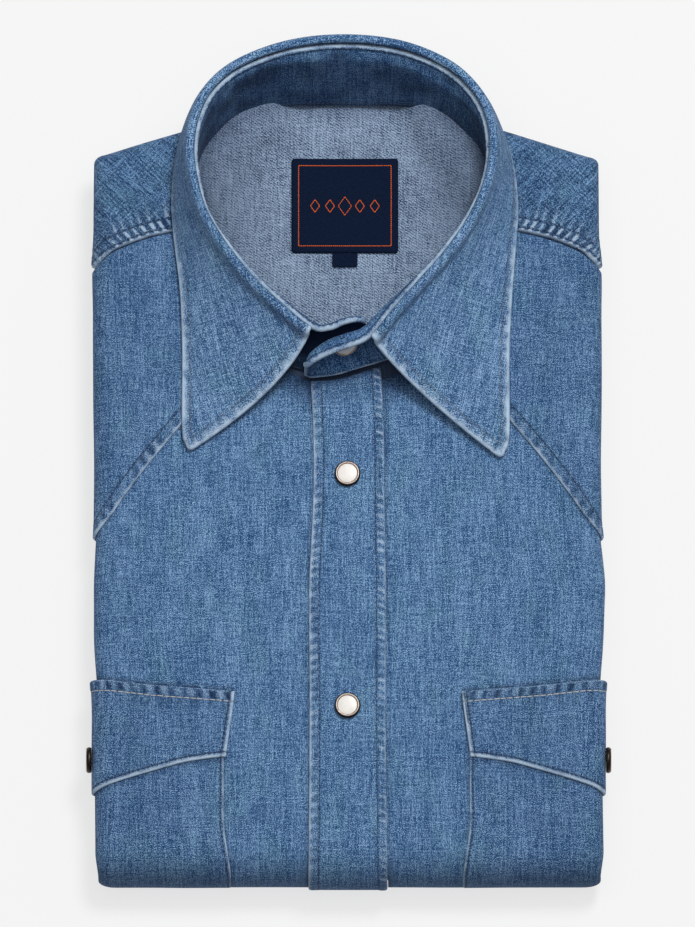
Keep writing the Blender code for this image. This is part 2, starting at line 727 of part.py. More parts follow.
def main():
    clear_scene()
    new_collection("denim_shirt")
    for name in COLOURS:
        new_material(name)
    make_hidden_layers()
    make_back_yoke()
    for side, hand in ((-1, "right"), (1, "left")):
        make_front(f"front_{hand}", side)
        make_front_yoke(f"yoke_front_{hand}", side)
        make_shoulder(f"yoke_shoulder_{hand}", side)
        make_pocket(f"pocket_{hand}", side)
        make_flap(f"flap_{hand}", side)
    make_placket()
    make_stand()
    make_leaf()
    make_label("label", LABEL_X, LABEL_Y)
    make_label("size_tab", TAB_X, TAB_Y)
    make_snaps()


main()
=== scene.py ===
"""The look of a folded western denim shirt: cloth, seams, stitches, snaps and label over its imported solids.

Metres, +Z up, +X to the wearer's left, +Y towards the collar. Cloth that lies on the pack is laid on one
form: u runs across from the middle of the front and round the side fold, q runs down from the collar,
round the bottom bend and on under the pack.
"""

import math

import bpy
import numpy as np
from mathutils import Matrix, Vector


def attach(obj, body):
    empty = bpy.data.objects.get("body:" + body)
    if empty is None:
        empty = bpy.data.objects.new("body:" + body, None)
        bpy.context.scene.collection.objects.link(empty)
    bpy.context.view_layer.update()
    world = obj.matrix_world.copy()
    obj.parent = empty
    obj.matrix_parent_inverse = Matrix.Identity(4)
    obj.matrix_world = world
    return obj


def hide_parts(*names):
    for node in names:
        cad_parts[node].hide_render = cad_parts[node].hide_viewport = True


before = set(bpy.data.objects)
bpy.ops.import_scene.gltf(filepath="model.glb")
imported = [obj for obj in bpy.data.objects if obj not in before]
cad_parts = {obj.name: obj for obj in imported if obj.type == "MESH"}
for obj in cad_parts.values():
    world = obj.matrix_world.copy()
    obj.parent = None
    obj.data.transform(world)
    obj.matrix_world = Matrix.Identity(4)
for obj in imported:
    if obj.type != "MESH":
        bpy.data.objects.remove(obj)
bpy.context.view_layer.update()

# The folded pack: its height, the bottom bend, the side folds, and the hem of the fronts underneath.
STACK_H = 0.030
BEND_R = STACK_H / 2
BEND_Y = -0.1788
HALF_W = 0.115
SIDE_ACROSS = 0.0075
SIDE_DEEP = 0.0065
FLAT_HALF = HALF_W - SIDE_ACROSS
SIDE_GIRTH = math.pi * (SIDE_ACROSS + SIDE_DEEP) / 2
SIDE_END = FLAT_HALF + SIDE_GIRTH
GAP = 0.0003
HEM_Y = 0.132
UNDER_Q = BEND_Y - math.pi * BEND_R
HEM_Q = UNDER_Q - (HEM_Y - BEND_Y)
CORNER_FILL = 0.55  # how much the pack's inside fills out its lower corners
BEND_FILL = 0.0011  # how far the bend bulges past its radius

# Half widths of the pack: y, the wearer's right side, the wearer's left side.
EDGES = (
    (-0.180, 0.1128, 0.1147),
    (-0.150, 0.1129, 0.1139),
    (-0.106, 0.1127, 0.1140),
    (-0.090, 0.1152, 0.1160),
    (-0.047, 0.1155, 0.1178),
    (-0.036, 0.1140, 0.1144),
    (0.000, 0.1139, 0.1140),
    (0.030, 0.1141, 0.1141),
    (0.080, 0.1141, 0.1140),
    (0.095, 0.1150, 0.1148),
    (0.110, 0.1141, 0.1129),
    (0.160, 0.1136, 0.1125),
)

# How thick the cloth of each piece is, and how high its outer face lies over the pack.
FRONT_WALL = 0.0020
THIN_WALL = 0.0012
PLACKET_WALL = 0.0016
SHOULDER_WALL = 0.0030
COLLAR_WALL = 0.0020
ON_FRONT = GAP + THIN_WALL
ON_POCKET = 2 * ON_FRONT
PLACKET_LIFT = GAP + PLACKET_WALL
SHOULDER_LIFT = 0.0018
ON_FLOOR = (0.0005, 0.0030)  # relief fades out down to where the pack lies on the floor
UNDER_ROWS = 40  # rows of cloth under the pack
UP = np.array([0.0, 0.0, 1.0])

# The groove that a row of stitches presses into its cloth.
DENT_WIDTH = 0.00048
DENT_DEEP = 0.00013
DENT_EVERY = 0.0022

# The fronts' upper edge round the neck: a circle that dips a little in front.
NECK_X = -0.0015
NECK_Y = 0.105
NECK_R = 0.0663
NECK_DIP = 0.0032
NECK_DIP_ANGLE = math.radians(24)

# The placket's edges: y, its x on the wearer's right side, its x on the left.
PLACKET_EDGES = (
    (-0.195, -0.0178, 0.0182),
    (-0.060, -0.0172, 0.0170),
    (-0.010, -0.0155, 0.0170),
    (0.016, -0.0157, 0.0168),
    (0.045, -0.0174, 0.0153),
)
PLACKET_WIDTH = 0.035
# Its upper edge: x, y.
PLACKET_TOP = ((-0.020, 0.0378), (-0.004, 0.0388), (0.006, 0.0420), (0.020, 0.0466))
SINK_FROM = math.radians(65)  # round the bend, where the placket sinks in between the fronts
SINK_TO = math.radians(150)
PART_TO = math.radians(60)
EASED_TO = 0.022  # how far out the fronts give way to the placket

# The shoulder seam: u, y.
SEAM = ((0.0660, 0.1113), (0.0800, 0.1087), (0.0900, 0.1064), (0.0980, 0.1036), (FLAT_HALF, 0.0994))
SEAM_DROP = 0.0062  # how far it comes down round the side fold
SEAM_GAP = 0.0005  # how far below it the front starts, and how much further at the side
SEAM_GAP_SIDE = 0.0014

# Lower edge of the front yokes: u, q.
YOKE_EDGE = (
    (0.0440, 0.0530),
    (0.0600, 0.0365),
    (0.0755, 0.0185),
    (0.0900, 0.0010),
    (0.1040, -0.0180),
    (0.1100, -0.0280),
    (0.1140, -0.0335),
    (SIDE_END, -0.0358),
)
YOKE_IN = 0.0455  # their inner end, under the collar

# The pockets. Their inner edge leans inwards between two places of q.
POCKET_U = 0.0572
POCKET_TOP = -0.118
POCKET_END = math.radians(125)
POCKET_LEAN = 0.0034
POCKET_LEAN_Q = (-0.1668, -0.1968)
POCKET_NEARER = 0.0014  # to the middle, on the wearer's left
NESTLED = 0.0013  # how far a pocket sinks into the pack round the bend
FLAP_LEAN = 0.0043
FLAP_IN = 0.0515  # where a flap's shadow on the front starts
LEAN_OVER = 0.038  # how far across a piece its lean fades out

# The flaps: u, then q of the upper edge and of the lower edge.
FLAP = (
    (0.0520, -0.1080, -0.1386),
    (0.0565, -0.1076, -0.1389),
    (0.0750, -0.1062, -0.1413),
    (0.0900, -0.1050, -0.1452),
    (FLAT_HALF, -0.1030, -0.1505),
    (0.1185, -0.1012, -0.1556),
    (SIDE_END, -0.1000, -0.1508),
)

# The back yoke's inside: its height, its front and its distance from the sides, its shallow bowl, and how it
# rises to meet the stand, by the distance from the neck's middle, y and x.
INNER_Z = 0.0274
INNER_FRONT = 0.030
INNER_SIDE = 0.0100
BOWL_DEEP = 0.0022
BOWL_R = 0.060
BOWL_FLAT = 0.021
NECK_RISE = 0.0075
NECK_RISE_R = (0.048, 0.0680)
NECK_RISE_Y = (0.112, 0.128)
NECK_RISE_X = (0.020, 0.036)

# Where the back yoke's inside meets the collar stand: x, y.
NECK_BACK = (
    (-0.0725, 0.1150),
    (-0.0705, 0.1290),
    (-0.0688, 0.1440),
    (-0.0612, 0.1560),
    (-0.0488, 0.1658),
    (-0.0270, 0.1697),
    (-0.0015, 0.1702),
    (0.0240, 0.1697),
    (0.0423, 0.1666),
    (0.0552, 0.1562),
    (0.0634, 0.1460),
    (0.0664, 0.1310),
    (0.0690, 0.1150),
)

# The pack's upper edge: x, y.
TOP_EDGE = (
    (0.000, 0.1700),
    (0.020, 0.1690),
    (0.042, 0.1645),
    (0.058, 0.1605),
    (0.0744, 0.1559),
    (0.112, 0.1437),
)
TOP_HIGHER = 0.0009  # on the wearer's right side
# The rounding of its corners, from a y to an x: on top, and down the shoulder's side, where it is less.
CORNER_FROM = 0.1325
CORNER_TO = 0.1030
SHARP_FROM = 0.1420
SHARP_TO = 0.1115

# The shoulder: y of its outline up the side, x of it along the top, u of its start along the seam, and its
# start round the neck, in degrees and metres clear of it.
SHOULDER_SIDE = (SEAM[-1][1], 0.106, 0.118)
SHOULDER_TOP = (0.090, 0.0744, 0.066, 0.058, 0.050, 0.042)
SHOULDER_SEAM = (0.1045, 0.101, 0.0975, 0.094, 0.0915, 0.089, 0.0865, 0.084, 0.081, 0.0745)
SHOULDER_NECK = ((7, 0.0008), (22, 0.0030), (36, 0.0040), (47, 0.0044))
SHOULDER_ACROSS = 0.046  # from the neck or the seam to the side fold, about

# The ends of the hidden layers: how far in from the upper edge, z of their top, z of their bottom.
LAYERS = (
    (0.0120, 0.0246, 0.0200),
    (0.0105, 0.0193, 0.0156),
    (0.0075, 0.0146, 0.0108),
    (0.0100, 0.0100, 0.0068),
    (0.0085, 0.0061, 0.0023),
)
LAYER_SLOT = 0.0045  # how deep the gaps between them are
LAYER_ROUND = 0.0010
HIDDEN_SIDE = 0.0036
HIDDEN_ROUND = 0.0015
HIDDEN_BACK = 0.150
HIDDEN_STEP = (0.029, 0.027, -0.060)  # y before and after its top steps up under the fronts, and further down

# Collar stand: base x, y, z, then the upper edge x, y, z, and how far that edge turns outwards.
STAND = (
    (0.0095, 0.0485, 0.0290, 0.0080, 0.0610, 0.0480, 0.0020),
    (0.0060, 0.0475, 0.0285, 0.0045, 0.0612, 0.0508, 0.0036),
    (-0.0010, 0.0452, 0.0285, -0.0015, 0.0597, 0.0515, 0.0042),
    (-0.0085, 0.0437, 0.0285, -0.0080, 0.0570, 0.0515, 0.0044),
    (-0.0180, 0.0440, 0.0285, -0.0160, 0.0575, 0.0515, 0.0046),
    (-0.0330, 0.0496, 0.0285, -0.0290, 0.0680, 0.0522, 0.0040),
    (-0.0480, 0.0610, 0.0285, -0.0435, 0.0820, 0.0532, 0.0025),
    (-0.0585, 0.0757, 0.0285, -0.0555, 0.0975, 0.0545, 0.0010),
    (-0.0640, 0.0912, 0.0285, -0.0640, 0.1125, 0.0558, 0.0000),
    (-0.0668, 0.1080, 0.0325, -0.0680, 0.1270, 0.0567, 0.0000),
    (-0.0692, 0.1259, 0.0330, -0.0694, 0.1410, 0.0570, 0.0000),
    (-0.0678, 0.1419, 0.0330, -0.0672, 0.1550, 0.0570, 0.0000),
    (-0.0600, 0.1540, 0.0330, -0.0607, 0.1683, 0.0568, 0.0000),
    (-0.0480, 0.1640, 0.0328, -0.0478, 0.1792, 0.0562, 0.0000),
    (-0.0265, 0.1682, 0.0305, -0.0260, 0.1876, 0.0555, 0.0000),
    (-0.0015, 0.1690, 0.0288, -0.0011, 0.1904, 0.0550, 0.0000),
    (0.0235, 0.1682, 0.0305, 0.0240, 0.1873, 0.0556, 0.0000),
    (0.0415, 0.1649, 0.0328, 0.0446, 0.1783, 0.0563, 0.0000),
    (0.0540, 0.1547, 0.0330, 0.0569, 0.1663, 0.0569, 0.0000),
    (0.0620, 0.1447, 0.0330, 0.0628, 0.1535, 0.0570, 0.0000),
    (0.0652, 0.1297, 0.0330, 0.0641, 0.1385, 0.0570, 0.0000),
    (0.0636, 0.1070, 0.0325, 0.0612, 0.1240, 0.0565, 0.0000),
    (0.0600, 0.0890, 0.0285, 0.0545, 0.1085, 0.0554, 0.0010),
    (0.0528, 0.0745, 0.0285, 0.0440, 0.0930, 0.0543, 0.0025),
    (0.0415, 0.0615, 0.0285, 0.0320, 0.0792, 0.0532, 0.0040),
    (0.0280, 0.0528, 0.0305, 0.0205, 0.0660, 0.0524, 0.0064),
    (0.0165, 0.0478, 0.0318, 0.0102, 0.0533, 0.0520, 0.0084),
    (0.0060, 0.0444, 0.0322, 0.0015, 0.0490, 0.0516, 0.0096),
    (-0.0045, 0.0412, 0.0322, -0.0065, 0.0464, 0.0508, 0.0090),
    (-0.0125, 0.0402, 0.0322, -0.0135, 0.0435, 0.0488, 0.0064),
    (-0.0172, 0.0401, 0.0325, -0.0174, 0.0416, 0.0458, 0.0028),
    (-0.0197, 0.0409, 0.0345, -0.0199, 0.0418, 0.0425, 0.0010),
)
STAND_STRAIGHT = 0.78  # the share of the way up to its knee that stays straight
STAND_KNEE = 0.55  # how far down its turn starts, for each metre that it turns outwards

# Free edge of the collar leaf: the row of the stand above it, x, y, z, and how hollow it falls.
LEAF = (
    (4.0, -0.0698, 0.0058, 0.0322, 1.5),
    (4.15, -0.0724, 0.0048, 0.0322, 1.5),
    (4.3, -0.0745, 0.0058, 0.0322, 1.5),
    (4.5, -0.0753, 0.0092, 0.0324, 1.5),
    (5.0, -0.0755, 0.0240, 0.0332, 1.5),
    (6.0, -0.0752, 0.0520, 0.0333, 1.4),
    (7.0, -0.0762, 0.0800, 0.0334, 1.3),
    (8.0, -0.0787, 0.1010, 0.0336, 1.2),
    (9.0, -0.0799, 0.1180, 0.0338, 1.1),
    (10.0, -0.0789, 0.1340, 0.0342, 1.1),
    (11.0, -0.0764, 0.1490, 0.0344, 1.1),
    (11.7, -0.0723, 0.1598, 0.0290, 1.0),
    (12.5, -0.0682, 0.1715, 0.0190, 1.0),
    (13.2, -0.0560, 0.1815, 0.0145, 1.0),
    (14.0, -0.0300, 0.1905, 0.0125, 1.0),
    (15.0, -0.0011, 0.1930, 0.0120, 1.0),
    (16.0, 0.0285, 0.1905, 0.0125, 1.0),
    (16.8, 0.0525, 0.1810, 0.0145, 1.0),
    (17.6, 0.0648, 0.1706, 0.0190, 1.0),
    (18.3, 0.0682, 0.1592, 0.0290, 1.0),
    (19.0, 0.0724, 0.1490, 0.0344, 1.1),
    (20.0, 0.0763, 0.1330, 0.0342, 1.1),
    (21.0, 0.0778, 0.1180, 0.0338, 1.1),
    (22.0, 0.0766, 0.0980, 0.0336, 1.2),
    (23.0, 0.0748, 0.0760, 0.0334, 1.3),
    (24.0, 0.0736, 0.0500, 0.0333, 1.4),
    (25.0, 0.0738, 0.0240, 0.0332, 1.5),
    (25.5, 0.0738, 0.0062, 0.0324, 1.5),
    (25.7, 0.0730, 0.0026, 0.0322, 1.5),
    (25.85, 0.0702, 0.0014, 0.0322, 1.5),
    (26.0, 0.0674, 0.0028, 0.0322, 1.5),
)

# How the leaf rolls over the stand: out of its upper edge, and above it.
ROLL = ((0.0006, 0.0013), (0.0018, 0.0027), (0.0034, 0.0015), (0.0041, -0.0030))
LEAF_SWING = 0.35  # how far out the leaf swings as it falls, for each metre of its reach
LEAF_MIDDLE = 15  # the row behind the neck
LEAF_LEAN = math.radians(16)

# The label, the size tab that hangs out under it, and the label's woven border.
LABEL_X = (-0.0255, 0.0231)
LABEL_Y = (0.0999, 0.1440)
TAB_X = (-0.0069, 0.0046)
TAB_Y = (0.0932, 0.0996)
LABEL_WALL = 0.0010
BORDER_IN = 0.0032
DIAMONDS_APART = 0.0068
DIAMOND = (0.0021, 0.0030)  # half its width, half its height
MIDDLE_DIAMOND = (0.0030, 0.0044)

# The snaps: their size, and where they sit.
SNAP_R = 0.0059
SNAP_H = 0.0024
SNAP_SIDES = 72
FRONT_SNAPS_Y = (-0.0060, -0.1147)
FLAP_SNAP_Y = -0.1380
NECK_SNAP_ROW = 27.3
NECK_SNAP = (-0.0012, 0.0518, 0.0437)


# Numbers over arrays.


def ramp(value, start, end):
    share = np.clip((value - start) / (end - start), 0.0, 1.0)
    return share * share * (3 - 2 * share)


def bump(value, middle, width):
    return np.exp(-(((value - middle) / width) ** 2))


def table(rows, at, column=1, soft=0.0):
    """Reads a column of a table along its first column. soft rounds its corners over that reach."""
    rows = np.array(rows)
    if not soft:
        return np.interp(at, rows[:, 0], rows[:, column])
    total = 0.0
    reach = np.minimum(soft, np.minimum(at - rows[0, 0], rows[-1, 0] - at).clip(0.0))
    for k in (-1.0, -0.6, -0.2, 0.2, 0.6, 1.0):
        total = total + np.interp(at + k * reach, rows[:, 0], rows[:, column])
    return total / 6


def spline(rows, at):
    """A smooth curve through the rows, for an array of row numbers."""
    rows = np.array(rows)
    last = len(rows) - 1
    base = np.minimum(at.astype(int), last - 1)
    t = (at - base)[:, None]
    p, q, r, s = (rows[np.clip(base + k, 0, last)] for k in (-1, 0, 1, 2))
    return 0.5 * (2 * q + (r - p) * t + (2 * p - 5 * q + 4 * r - s) * t * t + (3 * q - p - 3 * r + s) * t**3)


def bezier(a, b, c, t):
    return a * (1 - t) ** 2 + b * 2 * t * (1 - t) + c * t * t


def noise(x, y, seed):
    """Smooth noise from -1 to 1, one cell to each unit."""
    grid = np.random.RandomState(seed).uniform(-1, 1, (64, 64))
    i, j = np.floor(x).astype(int), np.floor(y).astype(int)
    fx, fy = x - i, y - j
    fx, fy = fx * fx * (3 - 2 * fx), fy * fy * (3 - 2 * fy)
    a, b = grid[i % 64, j % 64], grid[(i + 1) % 64, j % 64]
    c, d = grid[i % 64, (j + 1) % 64], grid[(i + 1) % 64, (j + 1) % 64]
    return (a * (1 - fx) + b * fx) * (1 - fy) + (c * (1 - fx) + d * fx) * fy


def unit(v):
    return v / np.maximum(np.linalg.norm(v, axis=-1, keepdims=True), 1e-12)


def stops(length, start=(), end=(), step=0.0015):
    """Places along a length: close together at given distances from both ends, and even between them."""
    low, high = max(start, default=0.0), length - max(end, default=0.0)
    count = max(1, round((high - low) / step))
    places = {0.0, length, *start, *[length - d for d in end], *np.linspace(low, high, count + 1)}
    return np.array(sorted(round(float(p), 7) for p in places))


def rows_between(top, bottom, start, end, count):
    """Rows down columns that run from top to bottom: at given distances from both, and even between them."""
    length = np.abs(top - bottom)
    way = np.sign(bottom - top)
    fit_low = np.minimum(1.0, 0.48 * length / max(max(start), 1e-9))
    fit_high = np.minimum(1.0, 0.48 * length / max(max(end), 1e-9))
    columns = [top + way * d * fit_low for d in start]
    low, high = top + way * max(start) * fit_low, bottom - way * max(end) * fit_high
    columns += [low + (high - low) * k / count for k in range(1, count)]
    columns += [bottom - way * d * fit_high for d in sorted(end, reverse=True)]
    return np.stack(columns, axis=-1)


# The folded form.


def bend_angle(q):
    """How far round the bottom bend a place is, from 0 to pi."""
    return np.clip((BEND_Y - q) / BEND_R, 0.0, math.pi)


def form(side, u, q, offset):
    """The point at u and q, moved out by the offset."""
    u, q, offset = np.broadcast_arrays(np.asarray(u, float), q, offset)
    angle = bend_angle(q)
    out_y, out_z = -np.sin(angle), np.cos(angle)
    y = BEND_Y + out_y * BEND_R
    y = np.where(angle <= 0, q, np.where(angle >= math.pi, BEND_Y + (BEND_Y - q) - math.pi * BEND_R, y))
    z = BEND_R + out_z * BEND_R
    flat = table(EDGES, y, 1 if side < 0 else 2, soft=0.012) - SIDE_ACROSS
    turn = math.pi * np.maximum(0.0, np.abs(u) - FLAT_HALF) / SIDE_GIRTH
    across = flat * np.minimum(np.abs(u), FLAT_HALF) / FLAT_HALF * np.sign(u + 1e-12)
    across = across + SIDE_ACROSS * np.sin(turn)
    depth = SIDE_DEEP * (1 - np.cos(turn)) * (1 - CORNER_FILL * np.sin(angle) ** 2)
    normal = unit(np.stack([np.sin(turn) / SIDE_ACROSS, np.cos(turn) / SIDE_DEEP], axis=-1))
    lift = normal[..., 1] * offset - depth + BEND_FILL * np.sin(angle) ** 2
    return np.stack([side * (across + normal[..., 0] * offset), y + out_y * lift, z + out_z * lift], axis=-1)


def neck_edge(x):
    """The y of the fronts' upper edge round the neck."""
    across = x - NECK_X
    inside = np.clip(across / NECK_R, -1.0, 1.0)
    radius = NECK_R + NECK_DIP * np.exp(-((np.arcsin(inside) / NECK_DIP_ANGLE) ** 2))
    return NECK_Y - np.sqrt(np.maximum(0.0, radius * radius - across * across))


def below_seam(u):
    """The q of the fronts' upper edge along the shoulder seam."""
    turn = math.pi * np.maximum(0.0, u - FLAT_HALF) / SIDE_GIRTH
    drop = (SEAM_DROP + SEAM_GAP_SIDE) * np.sin(np.minimum(turn, math.pi / 2))
    return table(SEAM, u, soft=0.003) - SEAM_GAP - drop


def front_top(side, u):
    """The q of the fronts' upper edge."""
    x = side * u
    return np.where(np.abs(x - NECK_X) > NECK_R, below_seam(u), np.minimum(neck_edge(x), below_seam(u)))


def nestle(q):
    """How far the pack gives way to a pocket."""
    return NESTLED * ramp(bend_angle(q), math.radians(15), math.radians(80))


def pocket_edge(side, q):
    """How far out a pocket's inner edge lies. It leans inwards round the bottom bend."""
    start, end = POCKET_LEAN_Q
    return POCKET_U - (POCKET_NEARER if side > 0 else 0.0) - POCKET_LEAN * ramp(-q, -start, -end)


def sway(side, u, q):
    """How the cloth rises and falls over the pack, alike in every layer that lies on it."""
    x = side * u
    broad = noise(x / 0.052 + 7.3, q / 0.060 + 3.1, 5) * 0.00034
    long = noise(x / 0.016 + 1.7, q / 0.075 + 8.2, 11) * 0.00013
    small = noise(x / 0.017 + 4.4, q / 0.021 + 2.9, 23) * 0.00009
    return (broad + long + small) * (1 - ramp(bend_angle(q), math.radians(70), math.radians(130)))


def puckers(along, seed, pitch=0.0042):
    """Uneven puckers along a seam, from -1 to 1."""
    wander = noise(along / 0.019, along * 0 + seed, seed) * 0.9
    wave = np.sin(along * 2 * math.pi / pitch + wander * 3.0)
    uneven = 0.75 + 0.45 * noise(along / 0.011, along * 0 + 2.5, seed + 1)
    return wave * uneven * 0.8 + 0.35 * noise(along / 0.0023, along * 0, seed + 2)


# Materials.


class Shader:
    """A material's nodes, added one after another."""

    def __init__(self, name, colour, roughness):
        self.material = bpy.data.materials.new(name)
        self.material.use_nodes = True
        self.tree = self.material.node_tree
        self.shader = self.tree.nodes["Principled BSDF"]
        self.set({"Base Color": (*colour, 1.0), "Roughness": roughness})

    def set(self, inputs):
        for name, value in inputs.items():
            self.shader.inputs[name].default_value = value

    def node(self, kind, links=(), **settings):
        made = self.tree.nodes.new(kind)
        for key, value in settings.items():
            setattr(made, key, value)
        for socket, source in dict(links).items():
            if isinstance(source, bpy.types.NodeSocket):
                self.tree.links.new(source, made.inputs[socket])
            else:
                made.inputs[socket].default_value = source
        return made

    def math(self, operation, a, b=0.0, clamp=False):
        return self.node("ShaderNodeMath", {0: a, 1: b}, operation=operation, use_clamp=clamp).outputs[0]

    def plus(self, tone, source, gain):
        return self.math("ADD", tone, self.math("MULTIPLY", source, gain))

    def layered(self, tone, layers):
        """The tone with layers of noise on it, each with its gain, that leave its mean as it is."""
        for source, gain in layers:
            tone = self.plus(tone, self.math("SUBTRACT", source, 0.5), gain)
        return tone

    def spread(self, value, low, high, to_high=1.0):
        """From 0 at low to to_high at high."""
        return self.node("ShaderNodeMapRange", {0: value, 1: low, 2: high, 3: 0.0, 4: to_high}).outputs[0]

    def mix(self, share, a, b, blend="MIX"):
        """Two colours mixed by a share. Each is a socket or three numbers."""
        a, b = (colour if isinstance(colour, bpy.types.NodeSocket) else (*colour, 1.0) for colour in (a, b))
        links = {0: share, 6: a, 7: b}
        return self.node("ShaderNodeMix", links, data_type="RGBA", blend_type=blend).outputs[2]

    def blend(self, level, *colours):
        """The colours, one after another, as the level goes from 0 to 1."""
        made = self.node("ShaderNodeValToRGB", {0: level})
        places = made.color_ramp.elements
        for k in range(1, len(colours) - 1):
            places.new(k / (len(colours) - 1))
        for place, colour in zip(places, colours):
            place.color = (*colour, 1)
        return made.outputs[0]

    def attribute(self, name):
        return self.node("ShaderNodeAttribute", attribute_name=name).outputs["Fac"]

    # The colour darkened towards dark by the shade attribute, which holds painted shade and shadows, and the
    # darker hollows of worn puckers.
    def shaded(self, colour, dark):
        return self.mix(self.spread(self.attribute("shade"), 0.0, 1.0), colour, srgb(*dark))

    def cloth_place(self, across, along, turn=0.0):
        """Cloth coordinates in millimetres, scaled across and along, and turned."""
        flat = self.node("ShaderNodeUVMap", uv_map="cloth").outputs[0]
        if turn:
            flat = self.node("ShaderNodeVectorRotate", {0: flat, 3: turn}, rotation_type="Z_AXIS").outputs[0]
        links = {0: flat, 1: (1000 * across, 1000 * along, 1.0)}
        return self.node("ShaderNodeVectorMath", links, operation="MULTIPLY").outputs[0]

    def grain(self, across, along, detail=1.0, rough=0.55):
        """Noise on the cloth, so many cells to a millimetre across and along."""
        links = {"Detail": detail, "Roughness": rough, "Scale": 1.0}
        links["Vector"] = self.cloth_place(across, along)
        return self.node("ShaderNodeTexNoise", links).outputs[0]

    def ribs(self, turn, scale, distortion, detail, detail_scale=1.0):
        """Uneven ribs on the cloth, turned from its warp."""
        links = {"Scale": scale, "Distortion": distortion, "Detail": detail, "Detail Scale": detail_scale}
        links["Vector"] = self.cloth_place(1.0, 1.0, turn)
        return self.node("ShaderNodeTexWave", links, bands_direction="X").outputs[1]

    def in_object(self, kind, output, **settings):
        """A texture that fills the object."""
        at = self.node("ShaderNodeTexCoord").outputs["Object"]
        return self.node(kind, {"Vector": at, **settings}).outputs[output]

    def finish(self, colour, height, distance, strength, inputs=()):
        self.tree.links.new(colour, self.shader.inputs["Base Color"])
        links = {"Strength": strength, "Distance": distance, "Height": height}
        bumped = self.node("ShaderNodeBump", links).outputs[0]
        self.tree.links.new(bumped, self.shader.inputs["Normal"])
        self.set({"Specular IOR Level": 0.18, **dict(inputs)})
        return self.material


def sheen(weight, *tint):
    return {"Sheen Weight": weight, "Sheen Roughness": 0.5, "Sheen Tint": (*tint, 1.0)}


def srgb(*values):
    return tuple(((v / 255 + 0.055) / 1.055) ** 2.4 if v > 10 else v / 255 / 12.92 for v in values)


def denim(name, deep, base, pale, streak=1.0, mottle=1.0, slub=1.0, weave=0.0, dark=(14, 34, 64)):
    """Washed denim: speckled, with fine slubs both ways, soft bands along the warp, and wear on its edges and
    seams. weave is how much a fine lattice of threads shows, where the cloth lies on the bias. dark is the
    colour that the painted shade in the shade attribute darkens it towards."""
    deep, base, pale = (srgb(*colour) for colour in (deep, base, pale))
    s = Shader(name, base, 0.88)
    speck = s.grain(2.6, 2.2, rough=0.8)
    tone = s.layered(0.408, (
        (speck, 4.4),
        (s.grain(1.9, 0.50), 1.05 * streak),
        (s.grain(0.50, 2.0), 0.75 * streak),
        (s.grain(1.15, 0.070), 0.95 * streak),
        (s.grain(0.085, 1.20), 0.65 * streak),
        (s.grain(0.17, 0.016), 0.34 * mottle),
        (s.grain(0.42, 0.30, 2.0), 0.40 * mottle),
        (s.grain(0.050, 0.034), 0.30 * mottle),
    ))
    tone = s.plus(tone, s.spread(s.grain(1.25, 0.055), 0.64, 0.74), 0.22 * slub)
    tone = s.plus(tone, s.spread(s.grain(0.065, 1.20), 0.66, 0.76), 0.17 * slub)
    for turn in (0.0, math.pi / 2) if weave else ():
        tone = s.plus(tone, s.spread(s.ribs(turn, 0.175, 2.6, 2.0, 1.1), 0.55, 1.0), weave)
    level = s.math("ADD", tone, -0.5 * weave, clamp=True)
    greener = s.spread(s.grain(0.060, 0.035, 2.0), 0.46, 0.66, 0.55)
    colour = s.mix(greener, s.blend(level, deep, base, pale), (0.94, 1.02, 0.90), "MULTIPLY")
    worn = s.spread(s.layered(s.attribute("wear"), ((speck, 1.6),)), 0.30, 1.25)
    colour = s.shaded(s.mix(worn, colour, srgb(176, 198, 220)), dark)
    height = s.plus(s.math("MULTIPLY", level, 0.45), s.ribs(math.radians(38), 0.36, 1.2, 1.0), 0.12)
    return s.finish(colour, height, 0.00025, 0.5, sheen(0.06, 0.55, 0.68, 0.85))


def twill_inside(name):
    """The wrong side of the denim: pale grey-blue twill with fine slanting ribs."""
    s = Shader(name, srgb(140, 160, 185), 0.9)
    ribs = s.ribs(math.radians(-56), 0.285, 3.4, 2.0, 1.6)
    speck = s.grain(1.8, 1.8, 2.0, rough=0.7)
    tone = s.layered(s.math("MULTIPLY", s.math("SUBTRACT", ribs, 0.5), 0.42), (
        (s.grain(1.2, 0.10, 2.0), 0.95),
        (s.grain(0.12, 1.3, 2.0), 0.85),
        (speck, 3.0),
        (s.grain(0.030, 0.030, 2.0), 0.60),
    ))
    tone = s.plus(tone, s.spread(s.grain(0.55, 0.028), 0.60, 0.74), 0.16)
    level = s.math("ADD", tone, 0.5, clamp=True)
    # The shade attribute mixes in painted shade, towards a dark grey-blue.
    colour = s.shaded(s.blend(level, srgb(14, 36, 70), srgb(160, 182, 208)), (40, 54, 80))
    height = s.plus(s.math("MULTIPLY", ribs, 0.5), speck, 0.6)
    return s.finish(colour, height, 0.00028, 0.5, sheen(0.10, 0.8, 0.86, 0.95))


def woven_label(name):
    """A close dark damask weave."""
    s = Shader(name, srgb(7, 21, 46), 0.8)
    tone = s.plus(s.math("MULTIPLY", s.grain(3.2, 0.8), 0.5), s.grain(0.6, 3.4), 0.5)
    colour = s.mix(s.spread(tone, 0.35, 0.65), srgb(3, 14, 35), srgb(11, 27, 54))
    return s.finish(colour, tone, 0.00012, 0.5, {"Specular IOR Level": 0.08})


def thread(name, *colour):
    """Twisted sewing thread: fine slanting plies."""
    colour = srgb(*colour)
    s = Shader(name, colour, 0.6)
    plies = s.in_object("ShaderNodeTexWave", 1, Scale=900.0, Distortion=0.6)
    tone = s.mix(plies, tuple(c * 0.6 for c in colour), tuple(min(1.0, c * 1.35) for c in colour))
    return s.finish(tone, plies, 0.00005, 0.5)


